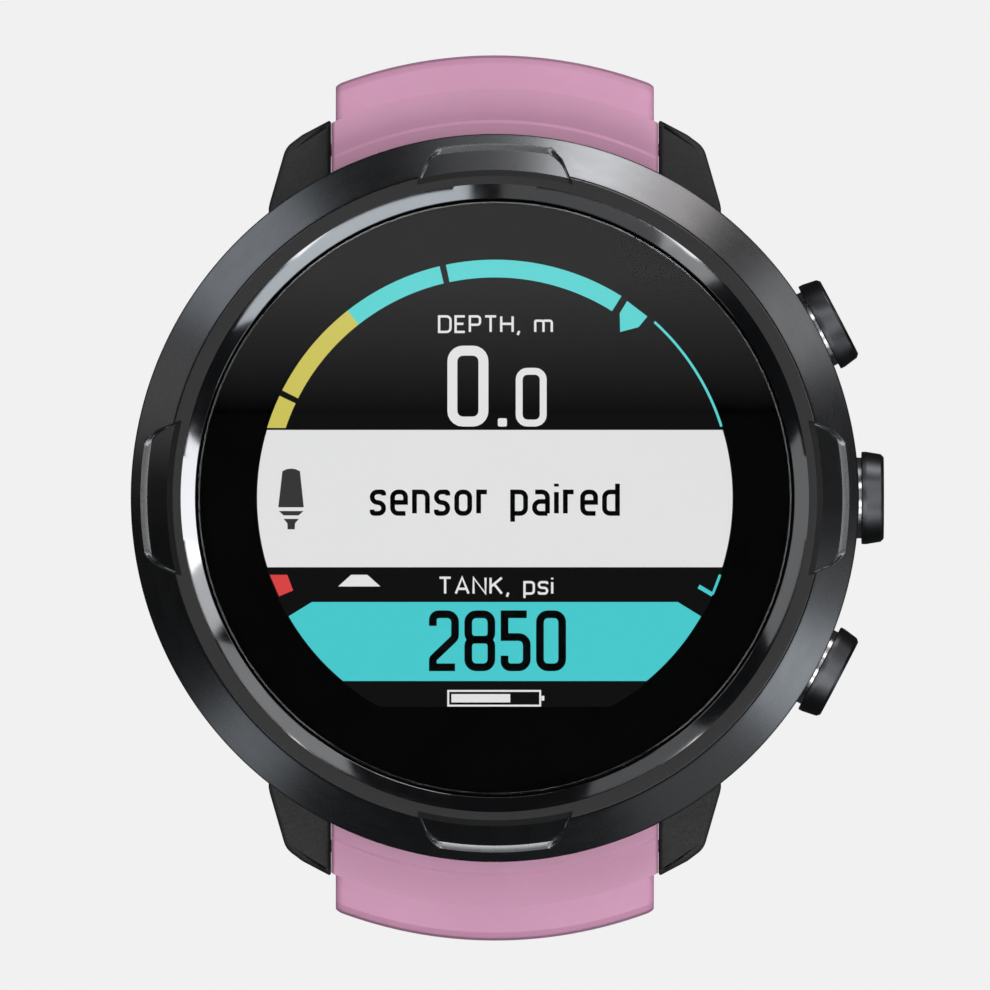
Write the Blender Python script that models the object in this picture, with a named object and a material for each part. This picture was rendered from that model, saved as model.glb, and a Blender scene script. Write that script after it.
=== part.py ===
"""Wrist dive computer: a 53 mm round case on a two-piece 24 mm silicone strap, unbuckled and self-curled.

Frame: metres, +Z out through the crystal, +Y to 12 o'clock, +X to 3 o'clock where the buttons are, and
the origin at the centre of the flat case back. Every length below is in millimetres and every angle in
degrees; mesh_object() turns millimetres into metres.
"""

import math

import bmesh
import bpy
from mathutils import Matrix, Vector

MM = 0.001
SMOOTH_ANGLE = math.radians(32)
CASE_SIDES = 48
SMALL_SIDES = 16
TINY_SIDES = 12
SEAL_SIDES = 24

# Case and bezel
BEZEL_R = 26.5
BEZEL_TOP = 16.5
BEZEL_FOOT = 8.9
SLOPE_TOP_R, SLOPE_TOP = 24.0, 16.25
SLOPE_FOOT_R, SLOPE_FOOT = 26.5, 14.0
RIM_INNER_R = 22.85
CHAMFER_INNER_R, CHAMFER_FOOT = 21.78, 15.9
CASE_R = 25.6
CAVITY_R = 21.5
SEAT = 8.4
COLLAR_R, COLLAR_TOP = 23.6, 11.6
FLANGE_R, FLANGE_LOW, FLANGE_HIGH = 16.4, 1.5, 2.6
BACK_R, BACK_THICK = 20.5, 1.2
BACK_RIM_R = 20.8

# Recesses at 12, 3, 6 and 9 o'clock, cut into the bezel's slope
RECESS_DEPTH = 0.45
RECESS_EDGE_R, RECESS_INNER_R, RECESS_OUTER_R = 23.43, 23.0, 25.55
RECESS_INNER_DEG, RECESS_OUTER_DEG = 14.2, 10.4
RECESS_STEPS = 8

# Crystal and display
CRYSTAL_R, CRYSTAL_LOW, CRYSTAL_HIGH, CRYSTAL_CHAMFER = 21.58, 14.1, 15.9, 0.25
ACTIVE_R, ACTIVE_FLAT = 17.4, -15.3
PANEL_R, PANEL_FLAT = 18.4, -16.4
BOARD_R, BOARD_LOW, BOARD_HIGH = 20.3, 7.3, 8.1

# Lugs and strap pivots
LUG_FACE = 12.0
POCKET_FACE = 22.95
PIVOT_Y, PIVOT_Z = 25.4, 4.5
PIN_R, PIN_TIP_R = 0.9, 0.45
PIN_REACH, PIN_HOLE_REACH, PIN_HOLE_R = 13.1, 13.5, 0.65
STRAP_BORE_R = 1.05
LEVER_X = 9.8

# Buttons: distances along each button's axis from the case's centre
BUTTON_ANGLES = {"top": 27.65, "middle": 0.0, "bottom": -27.65}
BUTTON_Z = 5.1
BUSH_R = 2.95

# Strap
STRAP_HALF_WIDE, STRAP_HALF, STRAP_HALF_TIP = 11.8, 11.57, 11.0
STRAP_OUT_Y = 32.3
STRAP_THICK = 3.1
STRAP_COLUMNS = 8
KNUCKLE_R = 1.95
SHOULDER_LOW = -2.4
BUCKLE_LEAD, BUCKLE_BEND_R, BUCKLE_STRAIGHT = 15.6, 14.95, 19.8
HOLE_LEAD, HOLE_BEND_R, FOOT_LENGTH, TAIL_DEG = 32.6, 17.65, 26.2, 75.0
BUCKLE_STRAP_THICK, HOLE_STRAP_THICK, TAIL_THICK = 2.8, 2.7, 2.5
SLOT_COUNT, SLOT_PITCH, SLOT_WIDE, SLOT_LONG = 12, 6.4, 4.4, 2.4
SLOT_START = 34.0
TIP_LENGTH = 8.0

# Buckle, in its own frame: x across, u away from the strap, w out of the wrist side
BAR_R, BAR_BORE_R = 0.9, 1.05
BAR_KNUCKLE_R = 1.9
FRAME_HALF, FRAME_ARM, FRAME_END, FRAME_BAR = 13.6, 11.5, 13.6, 10.7
FRAME_HALF_THICK = 1.2
TONGUE_HALF, NOTCH_HALF = 1.4, 1.9
KEEPER_WIDTH = 5.0

BLACK_PLASTIC = ((0.018, 0.018, 0.019), 0.62, 0.0)
BLACK_STEEL = ((0.045, 0.045, 0.05), 0.28, 1.0)
STEEL = ((0.55, 0.55, 0.57), 0.25, 1.0)
RUBBER = ((0.02, 0.02, 0.02), 0.8, 0.0)
PINK_SILICONE = ((0.56, 0.27, 0.42), 0.5, 0.0)
GLASS = ((0.01, 0.01, 0.012), 0.04, 0.0)
GREEN_BOARD = ((0.03, 0.14, 0.07), 0.5, 0.0)
CHIP = ((0.02, 0.02, 0.022), 0.45, 0.0)
FOIL = ((0.62, 0.63, 0.64), 0.35, 0.9)
WHITE_SHEET = ((0.8, 0.8, 0.8), 0.6, 0.0)
GOLD = ((0.75, 0.55, 0.2), 0.3, 1.0)
GREY_PLASTIC = ((0.2, 0.2, 0.21), 0.55, 0.0)


# ---------------------------------------------------------------- making meshes


def clear_scene():
    for old in list(bpy.data.objects):
        bpy.data.objects.remove(old, do_unlink=True)


def material(name, look):
    colour, roughness, metallic = look
    made = bpy.data.materials.new(name)
    made.use_nodes = True
    shader = made.node_tree.nodes["Principled BSDF"]
    shader.inputs["Base Color"].default_value = (*colour, 1.0)
    shader.inputs["Roughness"].default_value = roughness
    shader.inputs["Metallic"].default_value = metallic
    return made


def mesh_object(name, points, faces, look, origin=(0, 0, 0)):
    """An object from points in millimetres, its faces turned outwards and its origin at a given point."""
    start = Vector(origin)
    mesh = bpy.data.meshes.new(name)
    mesh.from_pydata([(Vector(point) - start) * MM for point in points], [], faces)
    shape = bmesh.new()
    shape.from_mesh(mesh)
    bmesh.ops.recalc_face_normals(shape, faces=shape.faces)
    shape.to_mesh(mesh)
    shape.free()
    mesh.shade_smooth()
    mesh.set_sharp_from_angle(angle=SMOOTH_ANGLE)
    mesh.materials.append(material(name, look))
    made = bpy.data.objects.new(name, mesh)
    made.location = start * MM
    bpy.context.scene.collection.objects.link(made)
    return made


def turned(name, profile, look, place=None, sides=CASE_SIDES, origin=(0, 0, 0)):
    """A closed (radius, height) profile turned about the Z axis of place."""
    place = place or Matrix.Identity(4)
    points = []
    rings = []
    for radius, height in profile:
        count = sides if radius > 0 else 1
        rings.append([len(points) + i for i in range(count)])
        for i in range(count):
            turn = 2 * math.pi * i / sides
            points.append(place @ Vector((radius * math.cos(turn), radius * math.sin(turn), height)))
    faces = []
    for here, there in zip(rings, rings[1:] + rings[:1]):
        for i in range(sides):
            j = (i + 1) % sides
            if len(here) > 1 and len(there) > 1:
                faces.append((here[i], here[j], there[j], there[i]))
            elif len(here) > 1:
                faces.append((here[i], here[j], there[0]))
            elif len(there) > 1:
                faces.append((here[0], there[j], there[i]))
    return mesh_object(name, points, faces, look, origin)


def prism(name, outline, low, high, look, place=None, origin=(0, 0, 0)):
    """An outline in the XY plane of place, raised from low(x, y) to high(x, y)."""
    place = place or Matrix.Identity(4)
    low_at = low if callable(low) else lambda x, y: low
    high_at = high if callable(high) else lambda x, y: high
    count = len(outline)
    points = [place @ Vector((x, y, low_at(x, y))) for x, y in outline]
    points += [place @ Vector((x, y, high_at(x, y))) for x, y in outline]
    faces = [tuple(reversed(range(count))), tuple(range(count, 2 * count))]
    for i in range(count):
        j = (i + 1) % count
        faces.append((i, j, count + j, count + i))
    return mesh_object(name, points, faces, look, origin)


def washer(name, outer, inner, low, high, look):
    """A flat ring between two radii, each a function of the angle in radians."""
    points = []
    for radius_at, height in ((outer, low), (outer, high), (inner, high), (inner, low)):
        for i in range(CASE_SIDES):
            turn = 2 * math.pi * i / CASE_SIDES
            radius = radius_at(turn)
            points.append((radius * math.cos(turn), radius * math.sin(turn), height))
    faces = []
    for ring in range(4):
        for i in range(CASE_SIDES):
            j = (i + 1) % CASE_SIDES
            here, there = ring * CASE_SIDES, (ring + 1) % 4 * CASE_SIDES
            faces.append((here + i, here + j, there + j, there + i))
    return mesh_object(name, points, faces, look)


def box(name, low, high, look, place=None):
    outline = [(low[0], low[1]), (high[0], low[1]), (high[0], high[1]), (low[0], high[1])]
    return prism(name, outline, low[2], high[2], look, place)


def combine(body, tool, operation):
    """Adds or takes away a helper object, which then shows only as a wire."""
    boolean = body.modifiers.new(tool.name, "BOOLEAN")
    boolean.operation = operation
    boolean.solver = "EXACT"
    boolean.object = tool
    tool.hide_render = True
    tool.display_type = "WIRE"


def cut(body, *tools):
    for tool in tools:
        combine(body, tool, "DIFFERENCE")


def join(body, *tools):
    for tool in tools:
        combine(body, tool, "UNION")


def rounded_box(x_low, x_high, y_low, y_high, radius, steps=2):
    """A rectangle's outline with its corners rounded by arcs."""
    outline = []
    corners = ((x_high, y_high, 0), (x_low, y_high, 90), (x_low, y_low, 180), (x_high, y_low, 270))
    for x, y, start in corners:
        middle_x = x - math.copysign(radius, x - (x_low + x_high) / 2)
        middle_y = y - math.copysign(radius, y - (y_low + y_high) / 2)
        for i in range(steps + 1):
            turn = math.radians(start + 90 * i / steps)
            outline.append((middle_x + radius * math.cos(turn), middle_y + radius * math.sin(turn)))
    return outline


def flatted(radius, flat):
    """The radius, at each angle, of a circle with a flat across its lower side."""
    return lambda turn: min(radius, flat / math.sin(turn)) if math.sin(turn) < -0.2 else radius


def flatted_outline(radius, flat):
    radius_at = flatted(radius, flat)
    turns = [2 * math.pi * i / CASE_SIDES for i in range(CASE_SIDES)]
    return [(radius_at(turn) * math.cos(turn), radius_at(turn) * math.sin(turn)) for turn in turns]


def along_x(y, z):
    """A frame whose Z axis lies along the world's X, through a point of the YZ plane."""
    return Matrix(((0, 0, 1, 0), (1, 0, 0, y), (0, 1, 0, z), (0, 0, 0, 1)))


def along_button(angle):
    """A frame whose Z axis runs outwards through a button, from the case's centre line."""
    turn = math.radians(angle)
    sine, cosine = math.sin(turn), math.cos(turn)
    return Matrix(((-sine, 0, cosine, 0), (cosine, 0, sine, 0), (0, 1, 0, BUTTON_Z), (0, 0, 0, 1)))


# ---------------------------------------------------------------- case, bezel and back


def slope_height(radius):
    """Height of the bezel's outer slope at a radius."""
    share = (radius - SLOPE_TOP_R) / (SLOPE_FOOT_R - SLOPE_TOP_R)
    return SLOPE_TOP + share * (SLOPE_FOOT - SLOPE_TOP)


def floor_height(radius):
    """Height of a recess's floor: it starts level with the rim and ends below the slope."""
    share = (radius - RECESS_EDGE_R) / (RECESS_OUTER_R - RECESS_EDGE_R)
    return BEZEL_TOP + share * (slope_height(RECESS_OUTER_R) - RECESS_DEPTH - BEZEL_TOP)


def make_mid_case():
    profile = [
        (BACK_RIM_R, 0.3),
        (22.2, 0.3),
        (24.6, 2.0),
        (CASE_R, 4.5),
        (CASE_R, SEAT),
        (COLLAR_R, SEAT),
        (COLLAR_R, COLLAR_TOP),
        (CAVITY_R, COLLAR_TOP),
        (CAVITY_R, FLANGE_HIGH),
        (FLANGE_R, FLANGE_HIGH),
        (FLANGE_R, FLANGE_LOW),
        (BACK_RIM_R, FLANGE_LOW),
    ]
    case = turned("mid_case", profile, BLACK_PLASTIC)
    for side_x in (-1, 1):
        for side_y in (-1, 1):
            join(case, lug(side_x, side_y))
    for side_y in (-1, 1):
        near, far = sorted((side_y * POCKET_FACE, side_y * 30))
        cut(case, box(f"pocket_tool_{side_y}", (-LUG_FACE, near, -3), (LUG_FACE, far, 7.9), CHIP))
        hole = [(0, -PIN_HOLE_REACH), (PIN_HOLE_R, -PIN_HOLE_REACH)]
        hole += [(PIN_HOLE_R, PIN_HOLE_REACH), (0, PIN_HOLE_REACH)]
        place = along_x(side_y * PIVOT_Y, PIVOT_Z)
        cut(case, turned(f"pin_hole_tool_{side_y}", hole, CHIP, place, SMALL_SIDES))
    for position, angle in BUTTON_ANGLES.items():
        hole = [(0, 20.0), (BUSH_R + 0.1, 20.0), (BUSH_R + 0.1, 28.0), (0, 28.0)]
        place = along_button(angle)
        cut(case, turned(f"button_hole_tool_{position}", hole, CHIP, place, SMALL_SIDES))
    return case


def lug(side_x, side_y):
    """One lug: the outline seen from above, between two slanted planes."""
    corner = [(16.6, 20.9), (15.3, 25.33), (14.8, 25.95), (14.05, 26.42), (11.95, 27.6)]
    outline = [(11.95, 19.6), (16.1, 19.4), *corner]
    outline = [(side_x * x, side_y * y) for x, y in outline]

    def top(x, y):
        return 7.8 - 0.3 * (abs(y) - 20.6)

    def bottom(x, y):
        return 0.8 - 0.24 * (abs(y) - 20.6)

    return prism(f"lug_tool_{side_x}_{side_y}", outline, bottom, top, BLACK_PLASTIC)


def make_bezel():
    profile = [
        (23.85, BEZEL_FOOT),
        (25.9, BEZEL_FOOT),
        (26.35, 10.6),
        (BEZEL_R, 12.4),
        (SLOPE_FOOT_R - 0.02, SLOPE_FOOT),
        (SLOPE_TOP_R, SLOPE_TOP),
        (SLOPE_TOP_R - 0.12, BEZEL_TOP),
        (RIM_INNER_R, BEZEL_TOP),
        (CHAMFER_INNER_R, CHAMFER_FOOT),
        (CHAMFER_INNER_R, 13.6),
        (20.6, 13.6),
        (20.6, 11.9),
        (23.85, 11.9),
    ]
    bezel = turned("bezel_ring", profile, BLACK_STEEL)
    for quarter in range(4):
        cut(bezel, recess_tool(90 * quarter))


def recess_tool(middle):
    """A loft along the slope: its floor follows the cone, and its outer wall narrows at both ends."""
    points = []
    for i in range(RECESS_STEPS + 1):
        offset = RECESS_INNER_DEG * (2 * i / RECESS_STEPS - 1)
        narrow = (abs(offset) - RECESS_OUTER_DEG) / (RECESS_INNER_DEG - RECESS_OUTER_DEG)
        outer = RECESS_OUTER_R - max(0.0, narrow) * (RECESS_OUTER_R - RECESS_INNER_R - 0.5)
        turn = math.radians(middle + offset)
        inner_floor, outer_floor = floor_height(RECESS_INNER_R), floor_height(outer)
        section = [(RECESS_INNER_R, 18.5), (outer, 18.5), (outer, outer_floor), (RECESS_INNER_R, inner_floor)]
        points += [(radius * math.cos(turn), radius * math.sin(turn), height) for radius, height in section]
    faces = [(0, 1, 2, 3), tuple(4 * RECESS_STEPS + i for i in (3, 2, 1, 0))]
    for i in range(RECESS_STEPS):
        for j in range(4):
            k = (j + 1) % 4
            faces.append((4 * i + j, 4 * i + k, 4 * i + 4 + k, 4 * i + 4 + j))
    return mesh_object(f"recess_tool_{middle}", points, faces, CHIP)


def ring(name, inner, outer, low, high, look, place=None, sides=CASE_SIDES):
    return turned(name, [(inner, low), (outer, low), (outer, high), (inner, high)], look, place, sides)


def disc(name, radius, low, high, look, middle=(0, 0), sides=SMALL_SIDES):
    place = Matrix.Translation((*middle, 0))
    return turned(name, [(0, low), (radius, low), (radius, high), (0, high)], look, place, sides)


def make_seals():
    ring("bezel_seal", 24.0, 25.3, SEAT + 0.05, BEZEL_FOOT - 0.05, RUBBER)
    ring("crystal_gasket", 20.8, 21.5, 13.65, 14.05, RUBBER, sides=SEAL_SIDES)
    ring("case_back_seal", 16.95, 17.5, 0.8, 1.45, RUBBER, sides=SEAL_SIDES)


def make_back():
    groove_low = 0.75
    outline = [(0, 0), (BACK_R, 0), (BACK_R, BACK_THICK), (17.7, BACK_THICK), (17.7, groove_low)]
    outline += [(16.7, groove_low), (16.7, BACK_THICK), (0, BACK_THICK)]
    back = turned("case_back", outline, STEEL)
    case = bpy.data.objects["mid_case"]
    for number in range(4):
        turn = math.radians(45 + 90 * number)
        middle = (19.0 * math.cos(turn), 19.0 * math.sin(turn))
        place = Matrix.Translation((*middle, 0))
        hole = [(0, -1), (1.25, -1), (1.25, 0.55), (0.85, 0.55), (0.85, 3.2), (0, 3.2)]
        tool = turned(f"screw_tool_{number}", hole, CHIP, place, TINY_SIDES)
        cut(back, tool)
        cut(case, tool)
        screw = [(0, 0.05), (1.1, 0.05), (1.15, 0.5), (0.75, 0.5), (0.75, 2.4), (0, 2.5)]
        made = turned(f"case_back_screw_{number + 1}", screw, STEEL, place, TINY_SIDES)
        drive = box(f"drive_tool_{number}", (-0.45, -0.45, -0.3), (0.45, 0.45, 0.32), CHIP, place)
        cut(made, drive)
    make_contacts(back)
    make_depth_sensor(back)


def make_contacts(back):
    for number in range(4):
        middle = (2.6 * (number - 1.5), -13.0)
        cut(back, disc(f"contact_tool_{number}", 0.8, -1, 2, CHIP, middle, TINY_SIDES))
        disc(f"charging_contact_{number + 1}", 0.65, 0.05, 2.3, GOLD, middle, TINY_SIDES)


def make_depth_sensor(back):
    middle = (0, 13.0)
    cut(back, disc("sensor_hole_tool", 3.2, -1, 2, CHIP, middle))
    place = Matrix.Translation((*middle, 0))
    can = [(0, 0.5), (2.65, 0.5), (2.65, 2.9), (2.2, 3.2), (2.2, 4.6), (0, 4.6)]
    turned("pressure_sensor", can, STEEL, place, SMALL_SIDES)
    ring("pressure_sensor_seal", 2.72, 3.12, 0.55, 1.1, RUBBER, place, SMALL_SIDES)
    guard = disc("sensor_guard", 3.05, 0.05, 0.4, BLACK_STEEL, middle)
    for number in range(6):
        turn = 2 * math.pi * number / 6
        spot = (1.7 * math.cos(turn), 13.0 + 1.7 * math.sin(turn))
        cut(guard, disc(f"guard_tool_{number}", 0.42, -1, 1, CHIP, spot, 8))


def make_display():
    crystal = [(0, CRYSTAL_LOW), (CRYSTAL_R, CRYSTAL_LOW)]
    crystal += [(CRYSTAL_R, CRYSTAL_HIGH - CRYSTAL_CHAMFER), (CRYSTAL_R - CRYSTAL_CHAMFER, CRYSTAL_HIGH)]
    crystal += [(0, CRYSTAL_HIGH)]
    turned("crystal", crystal, GLASS)
    active = flatted(ACTIVE_R, ACTIVE_FLAT)
    washer("display_mask", lambda turn: 20.4, active, 13.75, 13.95, CHIP)
    outline = flatted_outline(PANEL_R, PANEL_FLAT)
    prism("display_panel", outline, 11.95, 13.2, CHIP)
    prism("backlight_plate", outline, 11.0, 11.8, WHITE_SHEET)
    frame = [(20.4, 8.4), (20.4, 13.3), (18.8, 13.3), (18.8, 10.8), (17.6, 10.8)]
    frame += [(17.6, 10.0), (18.8, 10.0), (18.8, 8.4)]
    turned("display_frame", frame, GREY_PLASTIC, sides=SEAL_SIDES)


def make_electronics():
    disc("main_board", BOARD_R, BOARD_LOW, BOARD_HIGH, GREEN_BOARD, sides=CASE_SIDES)
    chips = {"processor_chip": (-4, 3, 7), "radio_chip": (6, 5, 5), "compass_chip": (5, -6, 3)}
    for name, (x, y, side) in chips.items():
        half = side / 2
        low, high = (x - half, y - half, BOARD_HIGH + 0.05), (x + half, y + half, BOARD_HIGH + 1.0)
        box(name, low, high, CHIP)
    prism("battery", rounded_box(-13.2, 13.2, -12.3, 7.3, 1.2), 3.35, 6.75, FOIL)
    tray = prism("battery_tray", rounded_box(-13.9, 13.9, -13.0, 8.0, 1.6), 2.9, 6.9, GREY_PLASTIC)
    inside = rounded_box(-13.4, 13.4, -12.5, 7.5, 1.2)
    cut(tray, prism("tray_tool", inside, 3.25, 8.0, CHIP))
    disc("vibration_motor", 4.0, 3.0, 5.6, STEEL, (-9.5, 12.4))
    disc("buzzer", 4.2, 3.0, 4.4, GOLD, (9.7, 12.6))


# ---------------------------------------------------------------- buttons


def make_buttons():
    for position, angle in BUTTON_ANGLES.items():
        place = along_button(angle)
        origin = place @ Vector((0, 0, 26.5))
        plunger = [(0, 20.6), (1.0, 20.6), (1.0, 21.15), (0.7, 21.15), (0.7, 21.6), (1.0, 21.6)]
        plunger += [(1.0, 27.2), (BUSH_R + 0.12, 27.2), (BUSH_R + 0.12, 26.75), (3.375, 26.75)]
        plunger += [(3.375, 27.1), (3.12, 28.1), (2.9, 28.3), (0, 28.45)]
        turned(f"{position}_button", plunger, BLACK_STEEL, place, SMALL_SIDES, origin)
        bush = [(1.9, 21.75), (BUSH_R, 21.75), (BUSH_R, 26.55), (2.2, 26.55), (2.2, 23.1)]
        bush += [(1.12, 23.1), (1.12, 22.65), (1.9, 22.65)]
        turned(f"{position}_button_bush", bush, STEEL, place, SMALL_SIDES)
        ring(f"{position}_button_seal", 1.1, 1.8, 21.95, 22.55, RUBBER, place, SMALL_SIDES)
        clip = ring(f"{position}_button_clip", 0.78, 1.9, 21.2, 21.55, STEEL, place, SMALL_SIDES)
        cut(clip, box(f"clip_tool_{position}", (-0.5, -3, 21), (0.5, 0, 22), CHIP, place))
        make_spring(f"{position}_button_spring", place)
        make_switch(f"{position}_tact_switch", place)


def make_spring(name, place):
    """A compression spring with its first and last turn laid flat."""
    coil_r, wire_r, low, high = 1.62, 0.2, 23.35, 26.95
    turns, steps, sides = 4.5, 8, 4
    count = int(turns * steps)
    points = []
    for i in range(count + 1):
        share = i / count
        rise = min(1.0, max(0.0, (share * turns - 0.75) / (turns - 1.5)))
        turn = 2 * math.pi * share * turns
        height = low + (high - low) * rise
        for j in range(sides):
            around = 2 * math.pi * j / sides
            radius = coil_r + wire_r * math.cos(around)
            lift = height + wire_r * math.sin(around)
            points.append(place @ Vector((radius * math.cos(turn), radius * math.sin(turn), lift)))
    faces = [tuple(range(sides)), tuple(count * sides + j for j in range(sides))]
    for i in range(count):
        for j in range(sides):
            k = (j + 1) % sides
            faces.append((i * sides + j, i * sides + k, (i + 1) * sides + k, (i + 1) * sides + j))
    mesh_object(name, points, faces, STEEL)


def make_switch(name, place):
    outline = [(-2.4, 18.3), (2.4, 18.3), (2.4, 19.6), (0.8, 19.6), (0.8, 20.05), (-0.8, 20.05)]
    outline += [(-0.8, 19.6), (-2.4, 19.6)]
    upright = Matrix(((1, 0, 0, 0), (0, 0, 1, 0), (0, 1, 0, 0), (0, 0, 0, 1)))
    prism(name, outline, -1.0, 1.6, GREY_PLASTIC, place @ upright)


# ---------------------------------------------------------------- strap


def strap_place(runs, start, length):
    """(y, z, angle) on a strap's centre line; the angle is that of its outer side, 0 towards +Y."""
    y, z, angle = start
    for kind, size, bend in runs:
        total = size if kind == "line" else math.radians(bend) * size
        step = min(length, total)
        if kind == "line":
            y += step * math.sin(angle)
            z -= step * math.cos(angle)
        else:
            turn = step / size
            y += size * (math.cos(angle - turn) - math.cos(angle))
            z += size * (math.sin(angle - turn) - math.sin(angle))
            angle -= turn
        length -= step
        if length <= 0:
            break
    return y, z, angle


def run_length(runs):
    return sum(size if kind == "line" else math.radians(bend) * size for kind, size, bend in runs)


def fade(value, start, end, first, last):
    share = min(1.0, max(0.0, (value - start) / (end - start)))
    return first + (last - first) * share


def shoulder_stations():
    """Sections from the knuckle at the strap pin, over the two raised bands and round to the side."""
    around = [math.radians(angle) for angle in (150, 210, 240, 270)]
    knuckle = [(PIVOT_Y + KNUCKLE_R * math.cos(a), PIVOT_Z + KNUCKLE_R * math.sin(a)) for a in around]
    wide, narrow = STRAP_HALF_WIDE, STRAP_HALF
    return [
        (knuckle[0], knuckle[1], 0.0, 0.0, wide),
        ((26.45, 7.3), knuckle[2], 1.0, 0.0, wide),
        ((27.5, 8.2), knuckle[3], 1.0, 0.0, wide),
        ((29.95, 7.0), (27.2, 1.9), 1.0, 0.3, wide),
        ((31.3, 5.5), (28.2, 0.9), 1.0, 0.6, narrow),
        ((32.05, 3.0), (28.9, -0.6), 1.0, 0.8, narrow),
        ((STRAP_OUT_Y, 0.0), (29.2, -1.6), 1.0, 1.0, narrow),
    ]


def run_station(runs, length, half_thick, half_width, roundness):
    start = (STRAP_OUT_Y - STRAP_THICK / 2, SHOULDER_LOW, 0.0)
    y, z, angle = strap_place(runs, start, length)
    out = (half_thick * math.cos(angle), half_thick * math.sin(angle))
    return (y + out[0], z + out[1]), (y - out[0], z - out[1]), roundness, roundness, half_width


def strap_body(name, stations, side):
    """Lofts sections across the strap; roundness bends a section to a circle about the case's axis."""
    columns = [2 * i / STRAP_COLUMNS - 1 for i in range(STRAP_COLUMNS + 1)]
    width = len(columns)
    points = []
    for outer, inner, round_outer, round_inner, half in stations:
        for (y, z), roundness in ((outer, round_outer), (inner, round_inner)):
            for column in columns:
                x = half * column
                sag = outer[0] - math.sqrt(max(outer[0] ** 2 - x * x, 0.0)) if roundness else 0.0
                points.append((x, side * (y - roundness * sag), z))
    faces = []
    count = len(stations)
    for i in range(count - 1):
        here, there = 2 * width * i, 2 * width * (i + 1)
        for layer in (0, width):
            for j in range(width - 1):
                a, b = layer + j, layer + j + 1
                faces.append((here + a, here + b, there + b, there + a))
        for edge in (0, width - 1):
            faces.append((here + edge, here + width + edge, there + width + edge, there + edge))
    for end in (0, 2 * width * (count - 1)):
        cap = [end + j for j in range(width)] + [end + 2 * width - 1 - j for j in range(width)]
        faces.append(tuple(cap))
    return mesh_object(name, points, faces, PINK_SILICONE, (0, side * PIVOT_Y, PIVOT_Z))


def bore_for_pin(strap, name, side):
    reach = STRAP_HALF_WIDE + 1
    bore = [(0, -reach), (STRAP_BORE_R, -reach), (STRAP_BORE_R, reach), (0, reach)]
    cut(strap, turned(f"{name}_bore_tool", bore, CHIP, along_x(side * PIVOT_Y, PIVOT_Z), SMALL_SIDES))
    near, far = sorted((side * (PIVOT_Y - 0.75), side * (PIVOT_Y + 0.75)))
    window_low, window_high = (LEVER_X - 1.8, near, 1.0), (LEVER_X + 0.8, far, PIVOT_Z)
    cut(strap, box(f"{name}_window_tool", window_low, window_high, CHIP))


def make_buckle_strap():
    runs = [("line", BUCKLE_LEAD, 0), ("arc", BUCKLE_BEND_R, 90), ("line", BUCKLE_STRAIGHT, 0)]
    total = run_length(runs)
    bend = BUCKLE_LEAD + math.radians(90) * BUCKLE_BEND_R
    places = [1.6, 6.6, 11.6]
    places += [BUCKLE_LEAD + math.radians(15 * i) * BUCKLE_BEND_R for i in range(7)]
    places += [bend + 5, bend + 10, bend + 15]
    stations = shoulder_stations()
    for length in places:
        half_thick = fade(length, 10, bend, STRAP_THICK, BUCKLE_STRAP_THICK) / 2
        half_width = fade(length, 5, 30, STRAP_HALF, STRAP_HALF_TIP)
        stations.append(run_station(runs, length, half_thick, half_width, fade(length, 0, 16, 1, 0)))
    for before, half_thick in ((2.4, 1.6), (0.6, BAR_KNUCKLE_R), (-0.6, 1.8), (-1.2, 1.47), (-1.7, 0.85)):
        stretched = [*runs[:2], ("line", BUCKLE_STRAIGHT + 3, 0)]
        stations.append(run_station(stretched, total - before, half_thick, STRAP_HALF_TIP - 0.1, 0))
    strap = strap_body("buckle_strap", stations, 1)
    bore_for_pin(strap, "buckle_strap", 1)
    return strap


def make_hole_strap():
    runs = [("line", HOLE_LEAD, 0), ("arc", HOLE_BEND_R, 90), ("line", FOOT_LENGTH, 0)]
    runs.append(("arc", HOLE_BEND_R, TAIL_DEG))
    total = run_length(runs)
    bend_end = HOLE_LEAD + math.radians(90) * HOLE_BEND_R
    places = [1.6, 6.6, 12.6, 22.6]
    places += [HOLE_LEAD + math.radians(15 * i) * HOLE_BEND_R for i in range(7)]
    places += [bend_end + FOOT_LENGTH / 2]
    tail = bend_end + FOOT_LENGTH
    places += [tail + math.radians(15 * i) * HOLE_BEND_R for i in range(4)]
    places += [total - 5.5, total - 3.5, total - 1.8, total - 0.7, total]
    stations = shoulder_stations()
    for length in places:
        thick = fade(length, 10, HOLE_LEAD, STRAP_THICK, HOLE_STRAP_THICK)
        thick = fade(length, tail, total, thick, TAIL_THICK)
        half_width = fade(length, 5, 30, STRAP_HALF, STRAP_HALF_TIP)
        near_tip = max(0.0, 1 - (total - length) / TIP_LENGTH)
        half_width -= 5.0 * (1 - math.sqrt(1 - near_tip ** 2))
        stations.append(run_station(runs, length, thick / 2, half_width, fade(length, 0, 16, 1, 0)))
    strap = strap_body("hole_strap", stations, -1)
    start = (STRAP_OUT_Y - STRAP_THICK / 2, SHOULDER_LOW, 0.0)
    for number in range(SLOT_COUNT):
        y, z, angle = strap_place(runs, start, SLOT_START + SLOT_PITCH * number)
        out = Matrix(((1, 0, 0, 0), (0, math.sin(angle), -math.cos(angle), -y)))
        place = Matrix((out[0], out[1], (0, math.cos(angle), math.sin(angle), z), (0, 0, 0, 1)))
        outline = rounded_box(-SLOT_WIDE / 2, SLOT_WIDE / 2, -SLOT_LONG / 2, SLOT_LONG / 2, 0.9)
        cut(strap, prism(f"slot_tool_{number}", outline, -3, 3, CHIP, place))
    bore_for_pin(strap, "hole_strap", -1)
    return strap


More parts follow.
